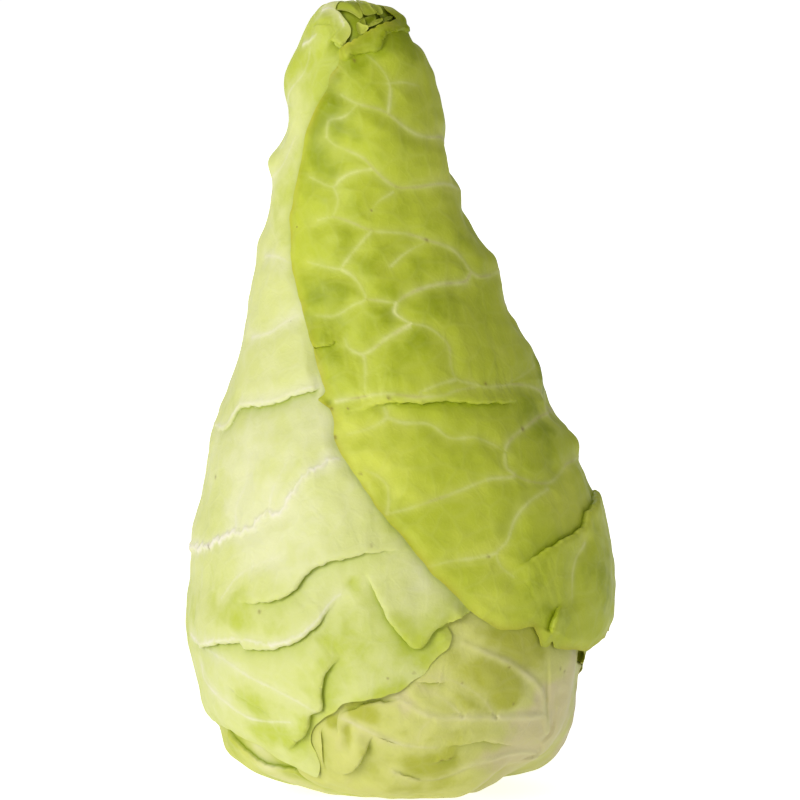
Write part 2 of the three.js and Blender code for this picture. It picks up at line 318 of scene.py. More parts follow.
class Leaf:
    """A patch of the skin between two margins, each given from the stem to the tip. The second lies to the
    right of the first, seen from outside.

    It is pale to deep green by its tone, 0 to 1, and by its patches, each a place, a radius and an amount,
    which are partly its own colour, partly painted shade in hollows and crevices, and painted light that
    pales parts lying in shade. Its marks are brown specks, each a place and a radius. The leaf below lies
    its pitch deeper. It puffs up between its veins, its margins curl and are ragged by so many millimetres,
    and spacing is its mesh's.
    """

    roll = 2.2                  # the curl of the margin dies away over this distance
    rim = 1.4                   # and its own colour over this one

    def __init__(self, name, slot, first, second, veins=(), pleats=(), bulges=(), tone_and_shading=(), marks=(),
                 tone=0.45, thickness=0.4, pitch=1.4, puff=0.5, curl=0.3, ragged=0.25, spacing=0.65):
        self.name, self.slot, self.veins, self.pleats, self.bulges = name, slot, veins, pleats, bulges
        self.tone_and_shading, self.thickness, self.pitch, self.puff, self.curl = tone_and_shading, thickness, pitch, puff, curl
        self.marks, self.spacing, self.tone = marks, spacing, tone
        self.order = len(LEAVES)
        self.outline = self._outline(first, second, ragged)
        azimuths = self.outline[:, 0]
        self.middle = (azimuths.min() + azimuths.max()) / 2
        self.coarse_outline = self.outline[::3]
        self.distances = self._measure_outside()
        LEAVES.append(self)

    def _outline(self, first, second, ragged):
        """The closed outline, anticlockwise, with small waves along both margins."""
        up, down = on_skin(second, self.spacing), on_skin(first, self.spacing)[::-1]
        top = on_skin([up[-1], (up[-1] + down[0]) / 2, down[0]], self.spacing)[1:-1]
        base = on_skin([down[-1], (up[0] + down[-1]) / 2, up[0]], self.spacing)[1:-1]
        for margin, seed in ((up, 1), (down, 2)):
            points = skin(*margin.T)
            free = ramp(margin[:, 1], *PLAIN_FOOT)
            wander = ragged * (waves(points, LONG_WAVE, self.order * 10 + seed)
                               + SHORT_SHARE * waves(points, SHORT_WAVE, seed))
            way = np.gradient(margin, axis=0) * [math.pi / 180 * meridian(margin[:, 1])[:, 2].mean(), 1]
            way /= np.linalg.norm(way, axis=1, keepdims=True)
            half = np.maximum(meridian(margin[:, 1])[:, 2], 5)
            margin[:, 0] += np.degrees(wander * free * way[:, 1] / half)
            margin[:, 1] -= wander * free * way[:, 0]
        return np.vstack([up, top, down, base])

    def turned(self, azimuth):
        """The same azimuths, counted so that they are within half a turn of the leaf's middle."""
        return azimuth - 360 * np.round((azimuth - self.middle) / 360)

    def flat(self, azimuth, s):
        """The leaf's own flat map of the skin."""
        return np.stack([np.radians(self.turned(azimuth) - self.middle) * meridian(s)[:, 2], s], axis=-1)

    def unflat(self, flat):
        """azimuth, s of places on the flat map."""
        return self.middle + np.degrees(flat[:, 0] / meridian(flat[:, 1])[:, 2]), flat[:, 1]

    def _outside_exactly(self, azimuth, s):
        """How far places of the skin lie outside the outline, worked out from its every side."""
        scale = np.maximum(meridian(s)[:, 2], 1)[:, None]
        a = self.coarse_outline[None]
        b = np.roll(self.coarse_outline, -1, axis=0)[None]
        turned = self.turned(azimuth)[:, None]
        ax, bx = np.radians(a[..., 0] - turned) * scale, np.radians(b[..., 0] - turned) * scale
        ay, by = a[..., 1] - s[:, None], b[..., 1] - s[:, None]
        dx, dy = bx - ax, by - ay
        t = np.clip(-(ax * dx + ay * dy) / np.maximum(dx * dx + dy * dy, 1e-9), 0, 1)
        distance = np.hypot(ax + t * dx, ay + t * dy).min(axis=1)
        crosses = ((ay > 0) != (by > 0)) & (ax + dx * (-ay / np.where(dy == 0, 1e-9, dy)) > 0)
        return np.where(crosses.sum(axis=1) % 2 == 1, -distance, distance)

    def _measure_outside(self):
        """A table of the distance outside the outline, every OUTSIDE_STEP of azimuth and s."""
        azimuths = np.arange(0, 360, OUTSIDE_STEP[0])
        heights = np.arange(0, meridian.length + OUTSIDE_STEP[1], OUTSIDE_STEP[1])
        return np.array([self._outside_exactly(azimuths, np.full(len(azimuths), min(s, meridian.length)))
                         for s in heights])

    def outside(self, azimuth, s):
        """How far places of the skin lie outside the leaf's outline; 0 or less means under the leaf."""
        column = (azimuth % 360) / OUTSIDE_STEP[0]
        row = np.clip(s / OUTSIDE_STEP[1], 0, len(self.distances) - 1.001)
        j, i = column.astype(int), row.astype(int)
        u, v = column - j, row - i
        j, j_next = j % self.distances.shape[1], (j + 1) % self.distances.shape[1]
        low = self.distances[i, j] * (1 - u) + self.distances[i, j_next] * u
        high = self.distances[i + 1, j] * (1 - u) + self.distances[i + 1, j_next] * u
        return low * (1 - v) + high * v

    def covers(self, azimuth, s):
        """How far each place lies outside each leaf above this one: a row per leaf above."""
        return [above.outside(azimuth, s) for above in LEAVES[:self.order]]

    def depth(self, outside_each):
        """How deep the leaf lies below its place in the skin, by the leaves that cover it."""
        least = 0 if self.order < WRAPPERS else HIDDEN_COVER
        depth = 0
        for above, outside in zip(LEAVES, outside_each):
            sunk = (MARGIN_SHARE * ramp(outside, SINK_OUTSIDE, 0)
                    + (1 - MARGIN_SHARE) * ramp(outside, 0, -SINK_INSIDE))
            depth = depth + above.pitch * np.maximum(sunk, least)
        return depth

    def pressed(self, points, outside_each):
        """How far the hollows of the leaves above press this one in."""
        total = np.zeros(len(points))
        for above, outside in zip(LEAVES, outside_each):
            for bulge in above.bulges:
                if bulge.rise < 0:
                    hollow = bulge.rise * near_to(points, bulge.place, bulge.radius)
                    total -= hollow * ramp(outside, *PRESSING)
        return total

    def level(self, azimuth, s):
        """How coarse the mesh may be: 0 where the leaf shows in front, 1 behind, 2 where it is covered."""
        if self.order >= WRAPPERS:
            return np.full(len(s), 2)
        hidden = np.zeros(len(s), bool)
        for outside in self.covers(azimuth, s):
            hidden |= outside < -HIDDEN_FROM
        return np.where(hidden, 2, np.where(outward(azimuth, s)[:, 1] > FACES_BACK, 1, 0))


# ---- From a leaf to a mesh ----

SETTLE = 1.3                    # leaves lie this far below the skin, and their relief brings them up to it
LINE_GAP, GRID_GAP = 0.3, 0.55  # the least gaps between a mesh's points, in spacings of the leaf
LINE_STEP = 0.9                 # and the steps along its lines
SWELLS = ((0.35, 26, 50), (0.10, 7, 60))    # height and size of a blade's random swells, and their seeds
SHADE_SWELL = (0.12, 40, 80)    # the same for its random change of shade
CURL_SWELL = (0.5, 12, 70)      # and for the curl of its margins
STRIP = 4                       # a leaf is thinner and less puffed up in this strip along its margin
EXPOSED, CLEAR = (-0.5, 4), (-0.3, 1)   # outside a covering margin, relief and free relief come up to
#                                         their full height between these distances
TUCK = 1.3                      # the shadow colour beside a covering margin dies away over this distance
CREASE_LINE, CREASE_SHADE = 1.0, 4.0    # painted crease shade is dark over the first distance and fainter over the second
INNER_FOLLOWS = 1.5             # the inner face follows the outer one's relief this near the margin
SHARP_ANGLE = math.radians(70)


def tree_of(points):
    """A search tree of points in space or on a flat map."""
    tree = kdtree.KDTree(len(points))
    for i, point in enumerate(points.tolist()):
        tree.insert(point if len(point) == 3 else (*point, 0), i)
    tree.balance()
    return tree


def nearest_in(tree, points):
    """(index, distance) of the nearest point of a tree to each point."""
    if points.shape[1] == 2:
        points = np.column_stack([points, np.zeros(len(points))])
    found = [tree.find(point)[1:] for point in points.tolist()]
    index, distance = zip(*found) if found else ((), ())
    return np.array(index, int), np.array(distance, float)


def inside_rows(outline, rows, columns):
    """Which crossings of a flat grid lie inside a flat outline: an array of rows by columns."""
    a, b = outline, np.roll(outline, -1, axis=0)
    kept = np.zeros((len(rows), columns.shape[1]), bool)
    for i, y in enumerate(rows):
        crossing = (a[:, 1] <= y) != (b[:, 1] <= y)
        start, end = a[crossing], b[crossing]
        xs = np.sort(start[:, 0] + (end[:, 0] - start[:, 0]) * (y - start[:, 1]) / (end[:, 1] - start[:, 1]))
        kept[i] = np.searchsorted(xs, columns[i]) % 2 == 1
    return kept


def grid_points(leaf, outline, level_at):
    """A triangular grid inside the flat outline, with every 2nd or 4th point where level_at says so."""
    fine = leaf.spacing
    low, high = outline.min(axis=0) - fine, outline.max(axis=0) + fine
    rows = np.arange(low[1], high[1], fine * math.sqrt(3) / 2)
    count = math.ceil((high[0] - low[0]) / fine) + 1
    i, j = np.meshgrid(np.arange(len(rows)), np.arange(count), indexing="ij")
    # Every second row is shifted by half a step, and every second of those rows by half of two steps.
    columns = low[0] + fine * (j - (i % 2) * 0.5 - ((i // 2) % 2) * 1.0)
    keep = inside_rows(outline, rows, columns)
    flat = np.stack([columns[keep], rows[i[keep]]], axis=-1)
    i, j = i[keep], j[keep]
    coarse = (i % 2 == 0) & (j % 2 == 0)
    coarsest = (i % 4 == 0) & (j % 4 == 0)
    level = level_at(*leaf.unflat(flat))
    return flat[(level == 0) | ((level == 1) & coarse) | ((level == 2) & coarsest)]


def clear_of(points, others, gap):
    """The points that keep a gap to all the others."""
    if not len(points) or not len(others):
        return points
    return points[nearest_in(tree_of(others), points)[1] > gap]


def triangulate(leaf, level_at, with_features):
    """(azimuth, s, triangles) of a leaf's flat map. The outline's own points come first."""
    outline = leaf.flat(*leaf.outline.T)
    fine = leaf.spacing
    points = outline
    if with_features:
        for line in feature_lines(leaf):
            level = level_at(*line.T)
            line = clear_of(leaf.flat(*line[level < 2].T), points, LINE_GAP * fine)
            points = np.vstack([points, line])
    grid = grid_points(leaf, outline, level_at)
    points = np.vstack([points, clear_of(grid, points, GRID_GAP * fine)])
    ring_edges = [(i, (i + 1) % len(outline)) for i in range(len(outline))]
    found = geometry.delaunay_2d_cdt(points.tolist(), ring_edges, [], 0, 1e-6, False)
    flat = np.array([tuple(v) for v in found[0]])
    triangles = np.array(found[2], int)
    azimuth, s = leaf.unflat(flat)
    return azimuth, s, triangles[inside_outline(flat, triangles, len(outline))]


def inside_outline(flat, triangles, outline_count):
    """Which triangles lie inside the outline; only those with all corners on it can lie in a bay of it."""
    kept = np.ones(len(triangles), bool)
    doubtful = np.flatnonzero((triangles < outline_count).all(axis=1))
    x, y = flat[triangles[doubtful]].mean(axis=1).T[..., None]
    a, b = flat[:outline_count], np.roll(flat[:outline_count], -1, axis=0)
    crossing = (a[:, 1] <= y) != (b[:, 1] <= y)
    rise = np.where(a[:, 1] == b[:, 1], 1, b[:, 1] - a[:, 1])
    crossing &= a[:, 0] + (b[:, 0] - a[:, 0]) * (y - a[:, 1]) / rise > x
    kept[doubtful] = crossing.sum(axis=1) % 2 == 1
    return kept


def feature_lines(leaf):
    """The lines that mesh points follow: both sides of each pleat's drop, then the veins."""
    fine = leaf.spacing * LINE_STEP
    inside = []
    for pleat in leaf.pleats:
        crest = on_skin(pleat.places, fine)
        flat = leaf.flat(*crest.T)
        way = np.gradient(flat, axis=0)
        way /= np.linalg.norm(way, axis=1, keepdims=True)
        low_side = np.stack([way[:, 1], -way[:, 0]], axis=-1) * (-1 if pleat.flip else 1)
        inside.append(flat)
        inside.append(flat + PLEAT_DROP * low_side)
    for vein in leaf.veins:
        inside.append(leaf.flat(*on_skin(vein.places, fine).T))
    lines = []
    for flat in inside:
        azimuth, s = leaf.unflat(flat)
        kept = leaf.outside(azimuth, s) < -0.4 * fine
        lines.append(np.stack([azimuth[kept], s[kept]], axis=-1))
    return lines


def vein_field(leaf, points):
    """Distance to the nearest vein, and the ridge height, whiteness and brownness at points of the skin."""
    if not leaf.veins:
        return np.full(len(points), FAR_FROM_VEINS), *np.zeros((3, len(points)))
    centre, width, rise, white, brown = [], [], [], [], []
    for vein in leaf.veins:
        line = vein.line(VEIN_STEP)
        along = np.linspace(0, 1, len(line))
        fading = 1 - vein.fade * along ** 1.5
        centre.append(line)
        width.append(vein.width * (1 - VEIN_TAPER * along))
        rise.append(vein.rise * fading)
        white.append(vein.whiteness * fading)
        brown.append(vein.brown * fading)
    width, rise, white, brown = (np.concatenate(rows) for rows in (width, rise, white, brown))
    index, distance = nearest_in(tree_of(np.vstack(centre)), points)
    width = width[index]
    line = np.exp(-(distance / (0.45 * width)) ** 2)
    glow = np.exp(-(distance / (0.5 * width + VEIN_GLOW)) ** 2)
    core = np.exp(-(distance / BROWN_CORE) ** 2)
    whiteness = white[index] * ((1 - GLOW_SHARE) * line + GLOW_SHARE * glow)
    return distance, rise[index] * line, whiteness, brown[index] * core


def relief(leaf, azimuth, s, outside_each, inward):
    """How far a leaf's outer face stands off its place below the skin, the slide of its folds, and the masks
    that its colours follow. Its relief dies away under a cover, except for its free hollows."""
    points = skin(azimuth, s)
    exposed, clear, cover_shadow = np.ones(len(s)), np.ones(len(s)), np.zeros(len(s))
    for outside in outside_each:
        exposed = exposed * ramp(outside, *EXPOSED)
        clear = clear * ramp(outside, *CLEAR)
        # Painted shadow beside the margin of each covering leaf.
        cover_shadow = np.maximum(cover_shadow, np.exp(-np.maximum(outside, 0) / TUCK))
    vein_distance, ridge, white, brown = vein_field(leaf, points)
    cell = ramp(vein_distance, 0, CELL_WIDTH)
    rise = ridge + leaf.puff * cell * ramp(inward, 0, STRIP)
    for height, size, seed in SWELLS:
        rise = rise + height * waves(points, size, leaf.order + seed)
    free_rise, hollow = np.zeros(len(s)), np.zeros(len(s))
    crease_shade_and_blotch, slide = np.zeros(len(s)), np.zeros((len(s), 3))
    for pleat in leaf.pleats:
        near, across, strength, low_way = pleat.measure(points)
        (free_rise if pleat.free else rise)[near] += strength * pleat.profile(across)
        # Painted shade along the low side of the crease.
        below = np.minimum(across + PLEAT_DROP, 0)
        dark = 0.6 * np.exp(below / CREASE_LINE) + 0.4 * np.exp(below / CREASE_SHADE)
        crease_shade_and_blotch[near] = np.maximum(crease_shade_and_blotch[near], pleat.crease_shade_strength * strength * np.where(across > -0.15, 0, dark))
        shift = pleat.lip * strength * np.exp(-(np.maximum(across, 0) / LIP_WIDTH) ** 2) * (across > -0.1)
        slide[near] += (shift * exposed[near])[:, None] * low_way
    for bulge in leaf.bulges:
        hill = bulge.rise * near_to(points, bulge.place, bulge.radius)
        if bulge.free and bulge.rise < 0:
            hollow += hill
        elif bulge.free:
            free_rise += hill
        else:
            rise += hill
    height, size, seed = CURL_SWELL
    uneven = 0.7 + height * waves(points, size, leaf.order + seed)
    lifted = leaf.curl * np.exp(-inward / leaf.roll) * uneven
    rise = (rise + lifted * ramp(s, *FLAT_FOOT)) * exposed + free_rise * clear + hollow
    # The crease mask is painted shade, in creases and beside covering margins.
    masks = {"vein": white, "brown": brown, "cell": cell,
             "crease_shade_and_blotch": np.maximum(crease_shade_and_blotch * clear, 0.6 * cover_shadow)}
    return rise, slide, masks


def near_to(points, place, radius):
    """1 at a place of the skin, falling to nothing some radii away."""
    centre = skin(*np.array([place]).T)
    return np.exp(-((points - centre) ** 2).sum(-1) / radius ** 2)


def leaf_mesh(leaf):
    """A closed shell: an outer face with all its relief, a plainer inner face, and the rim between them."""
    mesh = bpy.data.meshes.new(leaf.name)
    places, faces, masks = leaf_shell(leaf)
    mesh.from_pydata((places * MM).tolist(), [], faces)
    finish_leaf_mesh(mesh, masks)
    return mesh


def finish_leaf_mesh(mesh, masks):
    """Store the masks on the mesh, and shade it smooth but for its rim."""
    for name, values in masks.items():
        attribute = mesh.attributes.new(name, "FLOAT", "POINT")
        attribute.data.foreach_set("value", values.astype(np.float32))
    mesh.shade_smooth()
    mesh.set_sharp_from_angle(angle=SHARP_ANGLE)


def leaf_shell(leaf):
    """The shell's points, faces and masks."""
    azimuth, s, triangles = triangulate(leaf, leaf.level, True)
    edge_tree = tree_of(skin(*leaf.outline.T))
    place, masks = shell_side(leaf, azimuth, s, edge_tree, 0)
    in_azimuth, in_s, in_triangles = triangulate(leaf, lambda a, _: np.full(len(a), 2), False)
    in_place, in_masks = shell_side(leaf, in_azimuth, in_s, edge_tree, leaf.thickness)

    rim = np.arange(len(leaf.outline))
    after = np.roll(rim, -1)
    count = len(place)
    faces = triangles.tolist() + (in_triangles[:, ::-1] + count).tolist()
    faces += np.stack([after, rim, rim + count, after + count], axis=-1).tolist()
    masks = {name: np.concatenate([masks[name], in_masks[name]]) for name in masks}
    return np.vstack([place, in_place]), faces, masks


def shell_side(leaf, azimuth, s, edge_tree, thickness):
    """The points of one face of a leaf, and its masks. The outer face has a thickness of 0."""
    points = skin(azimuth, s)
    inward = nearest_in(edge_tree, points)[1]
    outside_each = leaf.covers(azimuth, s)
    rise, slide, masks = relief(leaf, azimuth, s, outside_each, inward)
    if thickness:
        follow = np.exp(-inward / INNER_FOLLOWS)
        rise = rise * follow + np.minimum(rise, 0) * (1 - follow)
        slide = slide * follow[:, None]
    thickness = thickness * (0.55 + 0.45 * ramp(inward, 0, STRIP))
    stand = rise - SETTLE - leaf.depth(outside_each) - leaf.pressed(points, outside_each) - thickness
    masks["edge"] = np.exp(-inward / leaf.rim) * ramp(s, *PLAIN_FOOT)
    masks["shade"] = shade_of(leaf, points)
    marks = [near_to(points, place, radius) for place, radius in leaf.marks]
    masks["mark"] = sum(marks, np.zeros(len(points)))
    return points + outward(azimuth, s) * stand[:, None] + slide, masks


def shade_of(leaf, points):
    """0 to 1 from pale to deep, from a leaf's few painted patches and a little variation."""
    amount, size, seed = SHADE_SWELL
    shade = leaf.tone + amount * waves(points, size, leaf.order + seed)
    # The patches are partly the leaf's own colour, partly painted shade and painted light.
    for place, radius, amount in leaf.tone_and_shading:
        shade = shade + amount * near_to(points, place, radius)
    return np.clip(shade, 0, 1)


# ---- The wrapper leaves, from the outermost in ----

# Width and rise of a vein, by its rank.
MIDRIB, MAIN, SIDE, FINE = (5.0, 1.2), (1.5, 0.16), (1.2, 0.1), (0.9, 0.05)


def main_vein(*places, brown=0.5, **options):
    """A vein that leaves the midrib."""
    return Vein(*MAIN, places, brown=brown, **options)


def side_vein(*places, whiteness=0.8, **options):
    """A vein that joins or leaves those."""
    return Vein(*SIDE, places, whiteness, **options)


def fine_vein(*places, whiteness=0.55, **options):
    """A vein that joins or leaves side veins."""
    return Vein(*FINE, places, whiteness, **options)


KINK = (5, 4)                   # how far a joining vein strays at its kink: degrees, mm
FIRST_BRANCH = 40               # how far up a midrib its first vein leaves it
LAST_BRANCH = 0.9               # and the share of its length where the last one does
BRANCH_SHARES = (0, 0.15, 0.35, 0.6, 0.8, 1.0)      # where the points of a branch lie along it
BRANCH_JOINS = ((1, 0), (3, 1), (4, 1))     # points of one branch that are joined to the next branch,
#                                             and how many points nearer to the midrib the other end is
BRANCH_STRAY = 5                # how far a branch may stray up or down at its end
WIDEST_BRANCH = 1.9             # radians round the head


def join(start, end, random):
    """Two places joined by a line with a kink in it."""
    share = random.uniform(0.35, 0.65)
    kink = tuple(a + share * (b - a) + random.uniform(-slack, slack)
                 for a, b, slack in zip(start, end, KINK))
    return start, kink, end


def feathered(midrib, spacing, reach, climb, seed, left=True, right=True):
    """A midrib with veins leaving it in turn on both sides, and a net of finer ones that joins those.

    Spacing is along one side; each vein reaches so far round the head and climbs about so far."""
    random = np.random.default_rng(seed)
    line = on_skin(midrib, 1.0)
    veins = [Vein(*MIDRIB, midrib, whiteness=1.0, fade=0.85)]
    branches = {-1: [], 1: []}
    side = 1
    for i in range(FIRST_BRANCH, int(len(line) * LAST_BRANCH), int(spacing / 2)):
        side = -side
        if (side < 0 and not left) or (side > 0 and not right):
            continue
        azimuth, s = line[i]
        half = max(float(meridian(s)[0, 2]), 6)
        span = math.degrees(min(reach / half, WIDEST_BRANCH)) * random.uniform(0.85, 1.1)
        rise = climb * random.uniform(0.5, 1.4)
        places = [(azimuth + side * span * t,
                   s + rise * t ** 0.8 + random.uniform(-BRANCH_STRAY, BRANCH_STRAY) * t)
                  for t in BRANCH_SHARES]
        places = [(a, min(b, TIP)) for a, b in places]
        veins.append(main_vein(*places))
        branches[side].append(places)
    for rows in branches.values():
        for lower, upper in zip(rows, rows[1:]):
            kinks = [join(lower[at], upper[at - back], random) for at, back in BRANCH_JOINS]
            veins += [side_vein(*kink, whiteness=random.uniform(0.35, 0.75)) for kink in kinks]
            veins += [fine_vein(*join(kinks[i][1], kinks[i + 1][1], random), whiteness=0.4) for i in (0, 1)]
    return veins


# The veins that show in front, from the tip down. They come in from the midrib at the right side.
hood_front_veins = [
    main_vein(ring(38, 188), ring(2, 196),
              *front((13.5, 199), (9, 199), (5, 200), (-0.5, 203.5), (-3.5, 206), (-7, 207.5), (-13, 209),
                     (-18, 211.5))),
    side_vein(*front((-3.5, 206), (-2.5, 213.5), (-3.5, 217), (-6.5, 221), (-10, 224))),
    fine_vein(*front((-3.3, 215), (1, 215.5), (7, 214.5))),
    main_vein(ring(38, 168), ring(0, 181),
              *front((14, 185), (5, 184), (0, 184), (-4, 186), (-8, 189.5), (-11, 192.5), (-15, 194.5),
                     (-20, 196.5), (-22.5, 198.5))),
    side_vein(*front((-22.5, 198.5), (-22.3, 202), (-21.5, 204), (-17, 205), (-13, 208.5))),
    side_vein(*front((-8, 189.5), (-15, 188), (-18.5, 186), (-20.5, 184), (-26, 186), (-28, 187))),
    fine_vein(*front((-20.5, 184), (-19, 180.5), (-20, 176), (-21.5, 175))),
    fine_vein(*front((-1.5, 182.5), (-6.5, 179.5), (-9, 176))),
    main_vein(ring(38, 140), ring(0, 150),
              *front((29.5, 158), (24, 157), (21.5, 158.5), (18.5, 162.5), (14.5, 166), (9, 168),
                     (3.5, 170), (-1.5, 170.5), (-8.5, 171), (-15, 173.5), (-20.5, 175), (-25, 174))),
    side_vein(*front((-8.5, 171), (-13, 166), (-17, 161), (-18, 159.5), (-22, 160), (-28, 161.5))),
    side_vein(*front((-18, 159.5), (-14, 157), (-11.5, 153.5), (-10.5, 150.5), (-14.5, 148.5),
                     (-20, 145.5), (-25.5, 145.5))),
    main_vein(*front((21.5, 158.5), (20, 155.8), (12.5, 155), (6.5, 153.5), (2, 151.5), (-1, 149.5),
                     (-6, 150), (-10.5, 150.5))),
    side_vein(*front((-1, 149.5), (-1.5, 146.5), (1, 144.3), (3.5, 143)), whiteness=1.3),
    main_vein(*front((3.5, 143), (-3.5, 139), (-11, 134), (-16, 136), (-17, 138.5))),
    main_vein(ring(38, 106), ring(0, 118),
              *front((37, 125), (26, 124), (21.5, 125), (17, 126.3), (15.3, 130), (14.7, 136),
                     (12.3, 139), (8, 142), (3.5, 143))),
    side_vein(*front((-11, 134), (-10.5, 130), (-10.7, 122.5))),
    side_vein(*front((17, 126.3), (11, 124.3), (5.5, 122))),
    fine_vein(*front((-2.5, 160.5), (1, 163.5), (4, 165.5), (9, 168))),
    fine_vein(*front((41, 131), (35.5, 126.5), (31, 124.5))),
    side_vein(*front((-4.8, 118), (-4, 115), (-10, 111.5), (-16, 110))),
    side_vein(*front((-4, 115), (1, 113.5), (9, 113), (15.5, 109), (23, 109), (28.5, 107), (32, 104.7))),
    main_vein(ring(30, 112), ring(2, 116),
              *front((43, 115.5), (37.5, 111.5), (33.5, 108), (32, 104.7), (32.5, 100), (35, 97.5),
                     (27.3, 96.5), (19.5, 93.5), (11.5, 90.5), (2.5, 87.5), (-4, 86))),
    main_vein(ring(38, 84), ring(6, 100),
              *front((51.5, 101.5), (49, 98), (45.5, 95.5), (40, 95.7), (35, 97.5))),
    side_vein(*front((-4, 86), (-3.5, 90), (-4, 94.5), (-7, 97.5), (-10.5, 99))),
    side_vein(*front((45, 93.5), (39, 89.5), (35, 84.5), (32.5, 77.5), (29.5, 74), (31, 70), (34.5, 67))),
    side_vein(*front((29.5, 74), (22, 72.5), (15.5, 71.7), (9, 70))),
    side_vein(*front((55, 77), (52.5, 72), (52, 66), (52.5, 61))),
    # Along the long fold across the middle.
    side_vein(*front((-19.5, 119.8), (-12, 121), (-4, 121.8), (5, 121), (12, 121.3), (18, 123), (26, 124.5)),
              brown=0.5),
]

